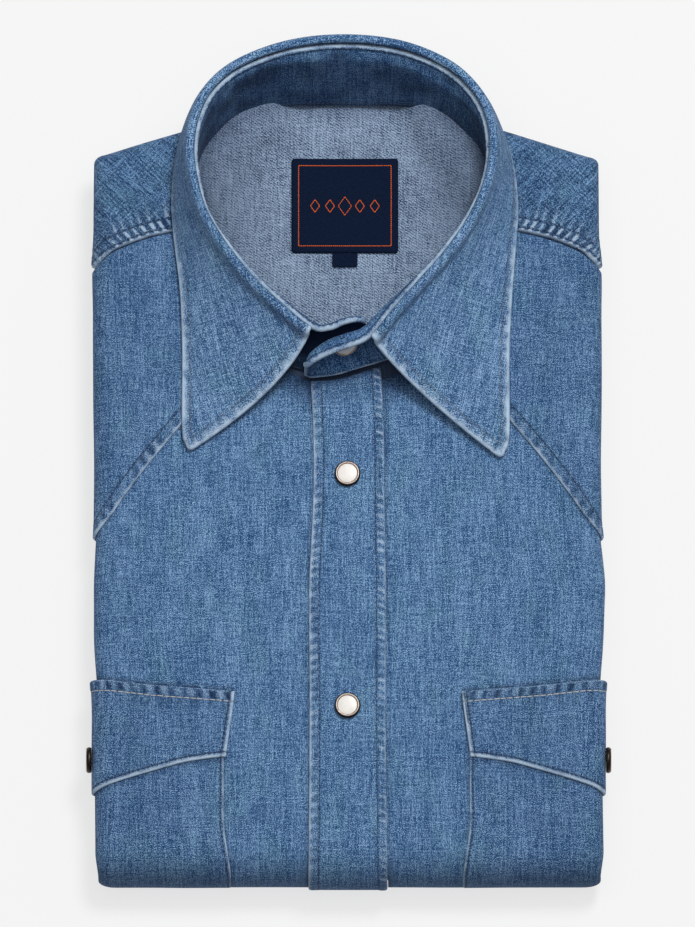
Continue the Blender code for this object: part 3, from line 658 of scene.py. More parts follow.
def pearl(name):
    """A pearl cap: creamy, glossy, with faint clouds."""
    s = Shader(name, srgb(226, 222, 216), 0.40)
    cloud = s.in_object("ShaderNodeTexNoise", 0, Scale=260.0, Detail=3.0, Distortion=1.4)
    colour = s.mix(s.spread(cloud, 0.35, 0.68), srgb(219, 214, 207), srgb(229, 225, 220))
    gloss = {"Coat Weight": 0.25, "Coat Roughness": 0.30, "Specular IOR Level": 0.5}
    return s.finish(colour, cloud, 0.00002, 0.25, gloss)


def metal(name, light, dark):
    """Brushed snap metal with fine scratches."""
    light, dark = srgb(*light), srgb(*dark)
    s = Shader(name, light, 0.42)
    scratch = s.in_object("ShaderNodeTexNoise", 0, Scale=1500.0, Detail=4.0, Roughness=0.7)
    colour = s.mix(s.spread(scratch, 0.3, 0.7), dark, light)
    return s.finish(colour, scratch, 0.00002, 0.3, {"Metallic": 1.0, "Specular IOR Level": 0.5})


def glowing_floor(name):
    """A pale studio sheet that glows a little: painted light, so shadows on it stay faint."""
    s = Shader(name, (0.20, 0.20, 0.20), 0.95)
    fibre = s.in_object("ShaderNodeTexNoise", 0, Scale=40.0, Detail=2.0)
    colour = s.mix(fibre, (0.198, 0.198, 0.198), (0.202, 0.202, 0.202))
    # Painted light: an even glow, though the floor is no lamp.
    glow = {"Specular IOR Level": 0.0, "Emission Color": (1.0, 1.0, 1.0, 1.0), "Emission Strength": 0.71}
    return s.finish(colour, fibre, 0.0001, 0.02, glow)


DENIM = denim("denim cloth", (16, 55, 97), (67, 108, 154), (146, 181, 218))
DENIM_PATCH = denim("denim patch cloth", (12, 50, 92), (62, 102, 148), (142, 176, 213))
DENIM_BIAS = denim(
    "denim cloth on the bias", (6, 38, 74), (43, 81, 122), (130, 167, 206), streak=1.1, slub=2.3, weave=0.12
)
DENIM_COLLAR = denim(
    "denim collar cloth", (18, 56, 97), (70, 110, 155), (152, 184, 219), streak=1.1, slub=2.0
)
# The stand's painted shade darkens it towards a deep navy.
DENIM_STAND = denim(
    "denim collar stand cloth", (6, 46, 92), (50, 95, 146), (136, 172, 212), mottle=1.6, dark=(0, 18, 46)
)
INSIDE = twill_inside("denim wrong side")
LABEL = woven_label("label weave")
THREADS = {  # material, and what differs in its stitches
    "stitch": (thread("navy thread", 46, 54, 76), {}),
    "stitch_pale": (thread("pale thread", 196, 192, 184), {"length": 0.0027, "space": 0.0003}),
    "stitch_grey": (thread("grey thread", 112, 116, 126), {}),
}
PEARL = pearl("pearl")
RING = metal("snap ring", (190, 174, 164), (142, 128, 120))
RIM = metal("snap rim", (70, 62, 56), (30, 26, 24))
ORANGE = thread("orange thread", 226, 98, 30)


# Building pieces.

PIECES = {}


def add(name, mesh, *materials):
    for material in materials:
        mesh.materials.append(material)
    made = bpy.data.objects.new(name, mesh)
    bpy.context.scene.collection.objects.link(made)
    PIECES[name] = made
    return made


def solid(name, points, faces, *materials):
    """A closed mesh, shaded smooth."""
    mesh = bpy.data.meshes.new(name)
    mesh.from_pydata(np.asarray(points).tolist(), [], faces)
    mesh.polygons.foreach_set("use_smooth", [True] * len(faces))
    return add(name, mesh, *materials)


def quads(rows, columns):
    """Faces of a grid of points."""
    i, j = np.meshgrid(np.arange(rows - 1), np.arange(columns - 1), indexing="ij")
    a = i * columns + j
    return np.stack([a, a + 1, a + columns + 1, a + columns], axis=-1).reshape(-1, 4)


def tube(rings, sides):
    """Faces between rings of points, each ring with so many sides."""
    start = np.arange(rings - 1)[:, None] * sides
    k = np.arange(sides)
    n = (k + 1) % sides
    return np.stack([start + k, start + sides + k, start + sides + n, start + n], axis=-1).reshape(-1, 4)


def lay_flat(mesh, cloth):
    """Keeps each point's flat place as the mesh's cloth coordinates."""
    order = np.empty(len(mesh.loops), int)
    mesh.loops.foreach_get("vertex_index", order)
    layer = mesh.uv_layers.new(name="cloth")
    layer.data.foreach_set("uv", cloth.reshape(-1, 2)[order].ravel())


def shell(name, outer, inner, cloth, material, wear=0.0, shade=0.0, behind=None):
    """A wall of cloth between two grids of points, closed round its edge. cloth holds its flat place.
    behind is the shade of its inner face, where that isn't the outer one's."""
    rows, columns = outer.shape[:2]
    count = rows * columns
    points = np.concatenate([outer.reshape(-1, 3), inner.reshape(-1, 3)])
    face = quads(rows, columns)
    edge = np.concatenate([
        np.arange(columns),
        np.arange(1, rows) * columns + columns - 1,
        (rows - 1) * columns + np.arange(columns - 2, -1, -1),
        np.arange(rows - 2, 0, -1) * columns,
    ])
    following = np.roll(edge, -1)
    rim = np.stack([following, edge, edge + count, following + count], axis=-1)
    faces = np.concatenate([face, face[:, ::-1] + count, rim])
    a, b, c = (points[face[:, k]] for k in (0, 1, 2))
    away = a - points[face[:, 0] + count]
    if (np.cross(b - a, c - a) * away).sum() < 0:
        faces = faces[:, ::-1]
    mesh = bpy.data.meshes.new(name)
    mesh.vertices.add(len(points))
    mesh.vertices.foreach_set("co", points.ravel())
    mesh.loops.add(faces.size)
    mesh.loops.foreach_set("vertex_index", faces.ravel())
    mesh.polygons.add(len(faces))
    mesh.polygons.foreach_set("loop_start", np.arange(0, faces.size, 4))
    mesh.polygons.foreach_set("use_smooth", np.ones(len(faces), bool))
    mesh.update(calc_edges=True)
    mesh.validate()
    lay_flat(mesh, np.concatenate([cloth, cloth]))
    for key, *pair in (("wear", wear, wear), ("shade", shade, shade if behind is None else behind)):
        values = np.concatenate([np.broadcast_to(value, (rows, columns)).ravel() for value in pair])
        mesh.attributes.new(key, "FLOAT", "POINT").data.foreach_set("value", values)
    return add(name, mesh, material)


def rounded(distance, wall, reach=0.0009):
    """How far a wall's outer face drops near its edge."""
    t = np.clip(1 - distance / reach, 0.0, 1.0)
    return wall * 0.55 * (1 - np.sqrt(np.maximum(0.0, 1 - t * t)))


# A stitch: how far along it each of its rings lies, and their sizes.
STITCH_RINGS = ((-0.5, 0.30), (-0.36, 0.85), (0.0, 1.0), (0.36, 0.85), (0.5, 0.30))
STITCH_SIDES = 6


def capsules(name, ends, ups, width, height, material):
    """Short stitches from their ends, each a small rounded bar that lies in the cloth."""
    a, b = ends
    along = b - a
    length = np.linalg.norm(along, axis=1, keepdims=True)
    along = along / length
    across = unit(np.cross(along, ups))
    up = np.cross(across, along)
    rows = []
    for place, size in STITCH_RINGS:
        middle = (a + b) / 2 + along * length * place
        for k in range(STITCH_SIDES):
            turn = 2 * math.pi * k / STITCH_SIDES
            rows.append(middle + across * width * size * math.cos(turn) + up * height * size * math.sin(turn))
    each = len(rows)
    first = np.arange(len(a))[:, None] * each
    bar = tube(len(STITCH_RINGS), STITCH_SIDES)[:, [0, 3, 2, 1]]
    faces = (first[..., None] + bar).reshape(-1, 4).tolist()
    faces += (first + np.arange(STITCH_SIDES)[::-1]).tolist()
    faces += (first + np.arange(each - STITCH_SIDES, each)).tolist()
    return solid(name, np.stack(rows, axis=1).reshape(-1, 3), faces, material)


def sewn(name, lines, material, length=0.0013, space=0.0009, width=0.00023, height=0.00018, sink=0.00003):
    """Rows of stitches. Each line is (points, normals) along a seam."""
    starts, ends, ups = [], [], []
    for points, normals in lines:
        run = arc_length(points)
        count = int(run[-1] / (length + space))
        if count < 1:
            continue
        at = np.arange(count) * (run[-1] / count)
        jitter = np.random.RandomState(len(points)).uniform(-0.06, 0.06, count) * length
        for places, rows, kept in (
            (at + jitter, points, starts),
            (at + length + jitter, points, ends),
            (at + length / 2, normals, ups),
        ):
            kept.append(np.stack([np.interp(places, run, rows[:, k]) for k in range(3)], axis=1))
    starts, ends, ups = (np.concatenate(x) for x in (starts, ends, ups))
    ups = unit(ups)
    lower = ups * (height * 0.35 - sink)
    return capsules(name, (starts + lower, ends + lower), ups, width, height, material)


EDGE_STEPS = (0.0, 0.00025, 0.0006, 0.0012)


def around(*stitches):
    """Row distances near an edge, close together at its stitches."""
    found = set(EDGE_STEPS)
    for d in stitches:
        found |= {d - 0.0010, d - 0.00045, d, d + 0.00045, d + 0.0010}
    last = max(found)
    k = 0.0020
    while k < last:
        if min(abs(k - d) for d in found) > 0.00045:
            found.add(k)
        k += 0.0008
    return tuple(sorted(d for d in found if d >= 0))


def arc_length(points, axis=0):
    """How far along each point lies, as metres of cloth."""
    steps = np.linalg.norm(np.diff(points, axis=axis), axis=-1)
    zero = np.zeros_like(np.take(steps, [0], axis=axis))
    return np.cumsum(np.concatenate([zero, steps], axis=axis), axis=axis)


def grid_normals(points, outwards):
    """Normals of a grid of points, turned to the side that outwards points to."""
    normal = unit(np.cross(np.gradient(points, axis=0), np.gradient(points, axis=1)))
    return normal if (normal * outwards).sum() > 0 else -normal


def side_of(grid, edge, step=0):
    """The points along one side of a grid, or a step in from it. An edge is its name, or its name with a
    slice. The hem is the low edge from its far end, then the start."""
    name, part = edge if isinstance(edge, tuple) else (edge, slice(None))
    sides = {
        "start": grid[:, step],
        "end": grid[:, -1 - step],
        "low": grid[step],
        "high": grid[-1 - step],
        "hem": np.concatenate([grid[step, ::-1], grid[1:, step]]),
    }
    return sides[name][part]


def inward_of(grid, normals, edge):
    """Directions in the cloth, away from one of its edges."""
    line = side_of(grid, edge)
    inward = unit(np.cross(side_of(normals, edge), np.gradient(line, axis=0)))
    towards = ((side_of(grid, edge, 1) - line) * inward).sum(axis=-1, keepdims=True)
    return inward * np.sign(towards + 1e-15)


def nearest(points, line):
    """Distance from each point to a line, and how far along it the nearest place lies."""
    flat = points.reshape(-1, 3)
    run = arc_length(line)
    a, b = line[:-1], line[1:]
    ab = b - a
    size = np.maximum((ab * ab).sum(axis=-1), 1e-16)
    found, along = np.empty(len(flat)), np.empty(len(flat))
    for at in range(0, len(flat), 2000):
        part = flat[at:at + 2000]
        d2 = ((part[:, None] - line[None]) ** 2).sum(axis=-1)
        k = d2.argmin(axis=1)
        best = np.full(len(part), np.inf)
        where = np.zeros(len(part))
        for shift in (-1, 0):
            i = np.clip(k + shift, 0, len(a) - 1)
            t = np.clip(((part - a[i]) * ab[i]).sum(axis=-1) / size[i], 0.0, 1.0)
            d = np.linalg.norm(part - a[i] - ab[i] * t[:, None], axis=-1)
            better = d < best
            best = np.where(better, d, best)
            where = np.where(better, run[i] + t * np.sqrt(size[i]), where)
        found[at:at + 2000], along[at:at + 2000] = best, where
    return found.reshape(points.shape[:-1]), along.reshape(points.shape[:-1])


def onto(points, normals, targets):
    """Targets moved onto a grid's surface, with its normals there."""
    flat, flat_normals = points.reshape(-1, 3), normals.reshape(-1, 3)
    k = np.concatenate([
        ((targets[at:at + 40, None] - flat[None]) ** 2).sum(axis=-1).argmin(axis=1)
        for at in range(0, len(targets), 40)
    ])
    ups = flat_normals[k]
    return targets - ups * ((targets - flat[k]) * ups).sum(axis=-1, keepdims=True), ups


SEAM_LOOK = {
    # the worn pale edge, and a softer pale stretch beside it
    "rim": 0.85, "rim_width": 0.0007, "wash": 0.0, "wash_width": 0.003,
    # the band up to the last stitch row: the length of its puckers, or 0 for no band, its rise and theirs,
    # how pale and how dark they are, how dark it is besides, and how far they fade out past it
    "pitch": 0.0, "flat": 0.0001, "puff": 0.00014, "lit": 0.55, "dark": 0.5, "heavy": 0.0, "beyond": 0.0,
    # the stitch rows: how dark the painted shade in their grooves is, and their thread
    "dent": 0.45, "thread": "stitch",
}
SEWN = {key: [] for key in THREADS}


class Seam:
    """A finished edge: its stitch rows, the puckered band that they hold, and its pale worn rim."""

    def __init__(self, edge, rows, seed, **look):
        self.edge, self.rows, self.seed = edge, rows, seed
        vars(self).update({**SEAM_LOOK, **look})

    def relief(self, distance, along):
        """(rise, wear, shade) at a distance from the edge."""
        rise = wear = shade = distance * 0.0
        band = self.rows[-1]
        if self.pitch:
            held = ramp(distance, 0.0003, 0.0010) * (1 - ramp(distance, band - 0.0009, band + 0.0001))
            wave = puckers(along + distance * 0.35, self.seed, self.pitch)
            rise = rise + held * (self.flat + self.puff * wave)
            wear = wear + held * np.clip(0.10 + self.lit * wave, 0.0, 1.0)
            shade = shade + held * np.clip(self.heavy - 0.08 - self.dark * wave, 0.0, 0.85)
        if self.beyond:
            fading = np.exp(-np.maximum(0.0, distance - band) / self.beyond)
            past = ramp(distance, band, band + 0.0008) * fading
            wave = puckers(along + 0.002, self.seed + 7, self.pitch * 1.1)
            rise = rise + past * self.puff * 0.7 * wave
            wear = wear + past * np.clip(self.lit * wave, 0.0, 1.0)
            shade = shade + past * np.clip(-self.dark * 0.8 * wave, 0.0, 0.6)
        near_rim = np.exp(-((distance / self.rim_width) ** 2))
        uneven = 0.85 + 0.35 * noise(along / 0.004, along * 0, self.seed + 3)
        wear = wear + self.rim * uneven * near_rim
        shade = shade * (1 - near_rim)
        if self.wash:
            mottle = 0.8 + 0.5 * noise(along / 0.0035, distance / 0.0030, self.seed + 4)
            wear = wear + self.wash * mottle * np.exp(-((distance / self.wash_width) ** 2))
        # Each stitch row presses a groove, darkened with painted shade.
        for row in self.rows:
            each = 0.68 + 0.32 * np.sin(along * 2 * math.pi / DENT_EVERY)
            pressed = bump(distance, row, DENT_WIDTH) * each
            rise = rise - DENT_DEEP * pressed
            shade = np.maximum(shade, self.dent * pressed)
            wear = wear * (1 - 0.8 * pressed)
        return rise, wear, shade


SQUARE_FROM = 30000  # a grid with this many points keeps square edges, which its size hides


def piece(
    name, grid, outwards, cloth, wall, material, seams, shade=None, centred=False, behind=None, normals=None
):
    """A piece of cloth from the grid of its outer face, or of its middle if centred, with its seams. Its rows
    of stitches are kept in SEWN."""
    normals = grid_normals(grid, np.array(outwards)) if normals is None else normals
    rise = wear = seam_shade = np.zeros(grid.shape[:2])
    for seam in seams:
        more = seam.relief(*nearest(grid, side_of(grid, seam.edge)))
        rise, wear, seam_shade = rise + more[0], np.maximum(wear, more[1]), np.maximum(seam_shade, more[2])
    rise = rise * ramp(grid[..., 2], *ON_FLOOR)
    if grid[..., 0].size < SQUARE_FROM:
        borders = [nearest(grid, side_of(grid, edge))[0] for edge in ("start", "end", "low", "high")]
        rise = rise - rounded(np.minimum.reduce(borders), wall)
    base = grid + normals * (wall / 2 if centred else 0.0)
    outer = base + normals * rise[..., None]
    behind = None if behind is None else both(seam_shade, behind)
    shade = seam_shade if shade is None else both(seam_shade, shade)
    shell(name, outer, base - normals * wall, cloth, material, wear, shade, behind)
    for seam in seams:
        inward = inward_of(outer, normals, seam.edge)
        for row in seam.rows:
            points, ups = onto(outer, normals, side_of(outer, seam.edge) + inward * row)
            keep = points[:, 2] > ON_FLOOR[1]
            for other in seams:
                if other is not seam:
                    away = nearest(points, side_of(outer, other.edge))[0]
                    keep &= away > max(other.rows) - 0.0003
            if keep.sum() > 3:
                SEWN[seam.thread].append((points[keep], ups[keep]))


# Fronts and what lies on them.


def stacked(*parts):
    """Arrays of one shape, or that spread to one, as the parts of points."""
    return np.stack(np.broadcast_arrays(*parts), axis=-1)


def edge_dark_and_bend_shade(u, q):
    """How much darker the cloth is painted away from the middle of the front, and round the bottom bend,
    where the darkening is painted shade.
    """
    away = 0.6 * (u / HALF_W) ** 2 + 0.5 * ((np.maximum(q, BEND_Y) + 0.030) / 0.160) ** 2
    bend_shade = 0.46 * ramp(bend_angle(q), math.radians(8), math.radians(75))
    return 1 - (1 - 0.20 * away) * (1 - bend_shade)


def both(a, b):
    """Two shades, one over the other."""
    return 1 - (1 - a) * (1 - b)


def gap_shade(distance, strong, reach):
    """Painted shade in the crease beside a piece that lies on this one."""
    return strong * np.exp(-((distance / reach) ** 2))


def placket_edge(side, q):
    """Where the placket's edge on one side lies across the form."""
    y = np.where(q > UNDER_Q, form(1, 0.0, q, 0.0)[..., 1], PLACKET_EDGES[0][0])
    return table(PLACKET_EDGES, y, 1 if side < 0 else 2, soft=0.010)


def bend_rows(count, end=math.pi):
    """Rows round the bottom bend."""
    return BEND_Y - BEND_R * np.linspace(0.0, end, count + 1)


def tall(top, count_flat, count_bend):
    """Rows from the top of each column down, round the bend and under to the hem."""
    flat = rows_between(top, np.full_like(top, BEND_Y), EDGE_STEPS, (0.0,), count_flat)
    rest = np.concatenate([bend_rows(count_bend)[1:], np.linspace(UNDER_Q, HEM_Q, UNDER_ROWS + 1)[1:]])
    return np.concatenate([flat, np.broadcast_to(rest, (len(top), len(rest)))], axis=1)


def make_front(name, side):
    columns = GAP / 2 + stops(SIDE_END - GAP / 2, step=0.0017)
    rows = tall(front_top(side, columns), 150, 26)
    c = columns[:, None]
    parted = ramp(bend_angle(rows), 0.0, PART_TO)
    out = np.abs(placket_edge(side, rows)) + GAP
    edge = GAP / 2 + parted * (out - GAP / 2)
    u = np.where(c < EASED_TO, edge + (EASED_TO - edge) * (c - GAP / 2) / (EASED_TO - GAP / 2), c)
    past_pocket = u - pocket_edge(side, rows)
    level = sway(side, u, rows) - nestle(rows) * ramp(past_pocket, 0.0006, 0.0022)
    past_placket = np.abs(u) - np.abs(placket_edge(side, rows))
    below_yoke = table(YOKE_EDGE, u, soft=0.004) - rows
    above_flap = rows - table(FLAP, u, 1)
    low = 1 - ramp(rows, -0.140, -0.110)
    # Painted shadows in the creases beside the placket, yoke, flap and pocket that lie on the front.
    shade = 0.0
    for lies, dark in (
        (past_placket > 0, gap_shade(past_placket, 0.40, 0.0016)),
        ((below_yoke > 0) & (u > YOKE_IN), gap_shade(below_yoke, 0.45, 0.0011)),
        ((above_flap > 0) & (u > FLAP_IN), gap_shade(above_flap, 0.90, 0.0017)),
        (past_pocket < 0, low * gap_shade(past_pocket, 0.45, 0.0012)),
    ):
        shade = np.maximum(shade, np.where(lies, dark, 0.0))
    # Painted shade on the front under the collar.
    under_collar_shade = 1 - ramp(rows[:, :1] - rows, 0.0, 0.017)
    shade = both(shade, 0.72 * under_collar_shade * (1 - ramp(np.abs(side * u - NECK_X), 0.030, 0.062)))
    grid, inner = form(side, u, rows, level), form(side, u, rows, level - FRONT_WALL)
    shell(name, grid, inner, stacked(c * side, rows), DENIM, 0.0, both(shade, edge_dark_and_bend_shade(u, rows)))


def make_placket():
    shares = stops(PLACKET_WIDTH, around(0.0047), around(0.0042), 0.0009) / PLACKET_WIDTH
    above = np.array(0.05)
    top_x = placket_edge(-1, above) * (1 - shares) + placket_edge(1, above) * shares
    rows = tall(table(PLACKET_TOP, top_x, soft=0.004), 230, 34)
    c = shares[:, None]
    x = placket_edge(-1, rows) * (1 - c) + placket_edge(1, rows) * c
    lift = PLACKET_LIFT * (1 - ramp(bend_angle(rows), SINK_FROM, SINK_TO))
    grid = form(1, x, rows, lift + sway(1, x, rows))
    low_look = {"rim": 1.1, "rim_width": 0.0010, "pitch": 0.0046, "wash": 0.22, "wash_width": 0.004}
    high_look = {"rim": 0.8, "rim_width": 0.0009, "pitch": 0.0039, "puff": 0.00022, "lit": 0.95}
    seams = (
        Seam("low", (0.0047,), 31, dark=0.70, dent=0.65, **low_look),
        Seam("high", (0.0042,), 37, dark=0.70, dent=0.65, **high_look),
    )
    # Painted shade and shadow where the placket runs under the collar stand.
    from_top = rows[:, :1] - rows
    stand_shadow = both(0.70 * np.exp(-((from_top / 0.0022) ** 2)), 0.36 * (1 - ramp(from_top, 0.002, 0.016)))
    shade = both(stand_shadow, edge_dark_and_bend_shade(x, rows))
    piece("placket_cloth", grid, (0, -1, 0), stacked(x, rows), PLACKET_WALL, DENIM, seams, shade)


def make_front_yoke(name, side):
    columns = YOKE_IN + stops(SIDE_END - YOKE_IN, step=0.0009)
    top, bottom = front_top(side, columns), table(YOKE_EDGE, columns, soft=0.005)
    slanting = tuple(x * 1.6 for x in around(0.0052))  # steps down the columns, which cross the edge aslant
    rows = rows_between(top, bottom, EDGE_STEPS, slanting, 46)
    u = columns[:, None]
    grid = form(side, u, rows, ON_FRONT + sway(side, u, rows))
    look = {"rim": 1.25, "rim_width": 0.0010, "puff": 0.00018, "lit": 0.62, "dark": 1.05, "dent": 0.8}
    seams = (Seam("end", (0.0052,), 41 + side, pitch=0.0060, **look),)
    piece(name, grid, (0, 0, 1), stacked(u * side, rows), THIN_WALL, DENIM_PATCH, seams, edge_dark_and_bend_shade(u, rows))


def make_pocket(name, side):
    start = float(pocket_edge(side, 0.0))
    columns = start + stops(SIDE_END - start, around(0.0015), step=0.0016)
    rows = np.concatenate([np.linspace(POCKET_TOP, BEND_Y, 56)[:-1], bend_rows(26, POCKET_END)])
    c, rows = np.broadcast_arrays(columns[:, None], rows)
    u = c - (start - pocket_edge(side, rows)) * (1 - ramp(c, start, start + LEAN_OVER))
    grid = form(side, u, rows, ON_FRONT + sway(side, u, rows) - nestle(rows))
    flat = stacked((c - 0.004) * side, rows + 0.0009)
    seams = (Seam("low", (0.0015,), 53 + side, rim=1.2, rim_width=0.0009, dent=0.75),)
    # Painted shadow under the flap's lower edge.
    below_flap = table(FLAP, u, 2, soft=0.004) - rows
    shade = both(np.where(below_flap > 0, gap_shade(below_flap, 0.55, 0.0014), 0.0), edge_dark_and_bend_shade(u, rows))
    piece(name, grid, (0, -1, 0), flat, THIN_WALL, DENIM_PATCH, seams, shade)


def make_flap(name, side):
    inner = FLAP[0][0]
    columns = inner + stops(SIDE_END - inner, around(0.0022), step=0.0008)
    top, bottom = table(FLAP, columns, 1), table(FLAP, columns, 2, soft=0.005)
    rows = rows_between(top, bottom, around(0.0050), around(0.0022), 34)
    c = columns[:, None]
    down = (top[:, None] - rows) / (top - bottom)[:, None]
    u = c + FLAP_LEAN * down * (1 - ramp(c, inner, inner + LEAN_OVER))
    grid = form(side, u, rows, ON_POCKET + sway(side, u, rows))
    flat = stacked(u * side + 0.01, rows + 0.003)
    start_look = {"rim": 0.45, "wash": 0.20, "dent": 0.6, "thread": "stitch_pale", "pitch": 0.0060}
    start_look.update({"puff": 0.00022, "lit": 0.50, "dark": 1.0, "heavy": 0.26, "beyond": 0.003})
    look = {"wash_width": 0.0028, "dent": 1.0}
    seams = (
        Seam("start", (0.0050,), 61 + side, **start_look),
        Seam("low", (0.0022,), 67 + side, rim=1.1, rim_width=0.0011, wash=0.62, **look),
        Seam("end", (0.0022,), 71 + side, rim=1.15, rim_width=0.0012, wash=0.66, **look),
    )
    piece(name, grid, (0, 0, 1), flat, THIN_WALL, DENIM_PATCH, seams, edge_dark_and_bend_shade(u, rows))


# The back yoke.


def top_edge(x):
    """The y of the pack's upper edge."""
    return table(TOP_EDGE, np.abs(x), soft=0.008) + TOP_HIGHER * ramp(-x, 0.060, 0.085)


def inner_z(x, y):
    """The height of the back yoke's inside, a shallow bowl."""
    away = np.hypot(x - NECK_X, y - NECK_Y)
    return INNER_Z - BOWL_DEEP * (1 - ramp(away, BOWL_FLAT, BOWL_R))


def make_back_yoke():
    edge = HALF_W - INNER_SIDE
    xs = np.linspace(-edge, edge, 132)
    starts = np.minimum(table(NECK_BACK, xs), top_edge(xs) + 0.004)
    ys = rows_between(starts, np.full_like(xs, INNER_FRONT), EDGE_STEPS, EDGE_STEPS, 84)
    x = xs[:, None]
    away = np.hypot(x - NECK_X, ys - NECK_Y)
    rise = 0.00028 * noise(x / 0.030, ys / 0.034, 83) * (1 - ramp(away, 0.045, 0.062))
    grid = stacked(x, ys, inner_z(x, ys) + rise)
    raised = ramp(away, *NECK_RISE_R) * ramp(ys, *NECK_RISE_Y) * ramp(np.abs(x), *NECK_RISE_X)
    grid[..., 2] += NECK_RISE * raised
    inner = grid - np.array([0.0, 0.0, THIN_WALL])
    # Painted shade: darker towards the sides and beside the stand, where the collar shades the inside, and
    # near black at the front, in shadow under the collar's ends.
    sides = 0.50 * ramp(np.abs(x - NECK_X), 0.020, 0.066)
    stand_shade = 0.40 * (1 - ramp(nearest(grid, side_of(grid, "start"))[0], 0.0, 0.010))
    shade = both(sides + 0.08 * noise(x / 0.021, ys / 0.024, 87), stand_shade)
    shade = both(np.maximum(0.0, shade), 0.93 * (1 - ramp(ys, 0.0500, 0.0580)))
    shell("back_yoke_inside", grid, inner, stacked(x, ys), INSIDE, 0.0, shade)


def shoulder_outline(side, low, far):
    """The pack's edge from the shoulder seam to the collar. Its corner is rounded from y low to x far."""
    corner = [np.array((x, y)) for x, y in (
        (HALF_W, low),
        (HALF_W, float(top_edge(side * HALF_W))),
        (far, float(top_edge(side * far))),
    )]
    outline = [(HALF_W, y) for y in SHOULDER_SIDE]
    outline += [tuple(bezier(*corner, t)) for t in np.linspace(0, 1, 6)]
    return outline + [(x, float(top_edge(side * x))) for x in SHOULDER_TOP]


def turned(points, angle):
    """Points of the plane, turned by an angle."""
    x, y = points[..., 0], points[..., 1]
    return np.stack([x * np.cos(angle) - y * np.sin(angle), x * np.sin(angle) + y * np.cos(angle)], axis=-1)


def make_shoulder(name, side):
    starts = [(u, float(table(SEAM, u))) for u in SHOULDER_SEAM]
    for degrees, clear in SHOULDER_NECK:
        angle, radius = math.radians(degrees), NECK_R + clear
        starts.append((radius * math.cos(angle) + side * NECK_X, NECK_Y + radius * math.sin(angle)))
    seam_end, last = len(SHOULDER_SEAM) - 1.0, len(starts) - 1.0
    at = np.concatenate([np.arange(0, seam_end, 0.11), np.linspace(seam_end, last, 16)])
    start, edge = spline(starts, at), spline(shoulder_outline(side, CORNER_FROM, CORNER_TO), at)
    along = unit(np.gradient(edge, at, axis=0))
    out = np.stack([along[:, 1], -along[:, 0]], axis=-1)
    scale = table(EDGES, edge[:, 1], 1 if side < 0 else 2) / HALF_W
    edge = np.stack([edge[:, 0] * scale, edge[:, 1]], axis=-1)
    inner = edge - out * SIDE_ACROSS
    corner = [(k, *place) for k, place in enumerate(shoulder_outline(side, SHARP_FROM, SHARP_TO))]
    sharp = np.stack([table(corner, at, 1, soft=0.35) * scale, table(corner, at, 2, soft=0.35)], axis=-1)
    lag = (SEAM_DROP * np.clip(1 - at / 2, 0.0, 1.0))[:, None]
    shares = stops(SHOULDER_ACROSS, around(0.0018, 0.0063), (), 0.0010) / SHOULDER_ACROSS
    inner_count = len(shares)
    flat_xy = start[:, None] * (1 - shares[None, :, None]) + inner[:, None] * shares[None, :, None]
    flat_z = np.full(flat_xy.shape[:2], STACK_H + SHOULDER_LIFT)
    # Round the side fold.
    turn = np.linspace(0, math.pi, 24)[None, 1:]
    n = unit(np.stack([np.sin(turn) / SIDE_ACROSS, np.cos(turn) / SIDE_DEEP], axis=-1))
    fold_xy = inner[:, None] + (sharp - inner)[:, None] * np.sin(turn)[..., None]
    fold_xy = fold_xy + out[:, None] * (n[..., 0] * SHOULDER_LIFT)[..., None]
    fold_xy[..., 1] -= lag * np.sin(np.minimum(turn, math.pi / 2))
    fold_z = STACK_H - SIDE_DEEP * (1 - np.cos(turn)) + n[..., 1] * SHOULDER_LIFT
    fold_z = np.broadcast_to(fold_z, fold_xy.shape[:2])
    xy, z = np.concatenate([flat_xy, fold_xy], axis=1), np.concatenate([flat_z, fold_z], axis=1)
    x, y = xy[..., 0], xy[..., 1]
    grid = np.stack([side * x, y, z], axis=-1)
    grid[..., 2] += 0.00028 * noise(x / 0.021, y / 0.024, 91 + side) * (1 - ramp(x, 0.085, 0.105))
    normals = np.zeros_like(grid)
    normals[:, :inner_count, 2] = 1.0
    normals[:, inner_count:, :2] = out[:, None] * n[..., :1] * (side, 1)
    normals[:, inner_count:, 2] = n[..., 1]
    # Its cloth is laid out as seen from above, and further on round the fold, on the bias.
    past = ramp(np.concatenate([np.zeros(inner_count), turn[0]]), 0.7, 1.4)[None, :, None]
    plan = np.diff(grid[..., :2], axis=1, prepend=grid[:, :1, :2])
    length = np.diff(arc_length(grid, axis=1), axis=1, prepend=0.0)
    round_fold = length[..., None] * (out * (side, 1))[:, None]
    flat = grid[:, :1, :2] + np.cumsum(plan * (1 - past) + round_fold * past, axis=1)
    flat = turned(flat, math.radians(45 * side))
    look = {"rim": 1.3, "rim_width": 0.0010, "puff": 0.00030, "lit": 1.45, "dark": 1.1, "beyond": 0.0070}
    sewn_edge = ("hem", slice(0, grid.shape[1] + 90))
    seams = (Seam(sewn_edge, (0.0018, 0.0063), 97 + side, pitch=0.0036, dent=1.0, heavy=0.10, **look),)
    piece(name, grid, (0, 0, 1), flat, SHOULDER_WALL, DENIM_BIAS, seams, normals=normals)


# The collar.


def stand_rows(at):
    """The stand's base, its upper edge, the way out, and how far the edge turns, at row numbers."""
    rows = spline(STAND, at)
    last = len(STAND) - 1.0
    ahead, behind = spline(STAND, np.minimum(at + 0.3, last)), spline(STAND, np.maximum(at - 0.3, 0.0))
    along = ahead[:, 3:5] - behind[:, 3:5]
    along = unit(np.stack([along[:, 0], along[:, 1], along[:, 0] * 0], axis=-1))
    out = np.stack([-along[:, 1], along[:, 0], along[:, 2]], axis=-1)
    return rows[:, 0:3], rows[:, 3:6], out, rows[:, 6:7]


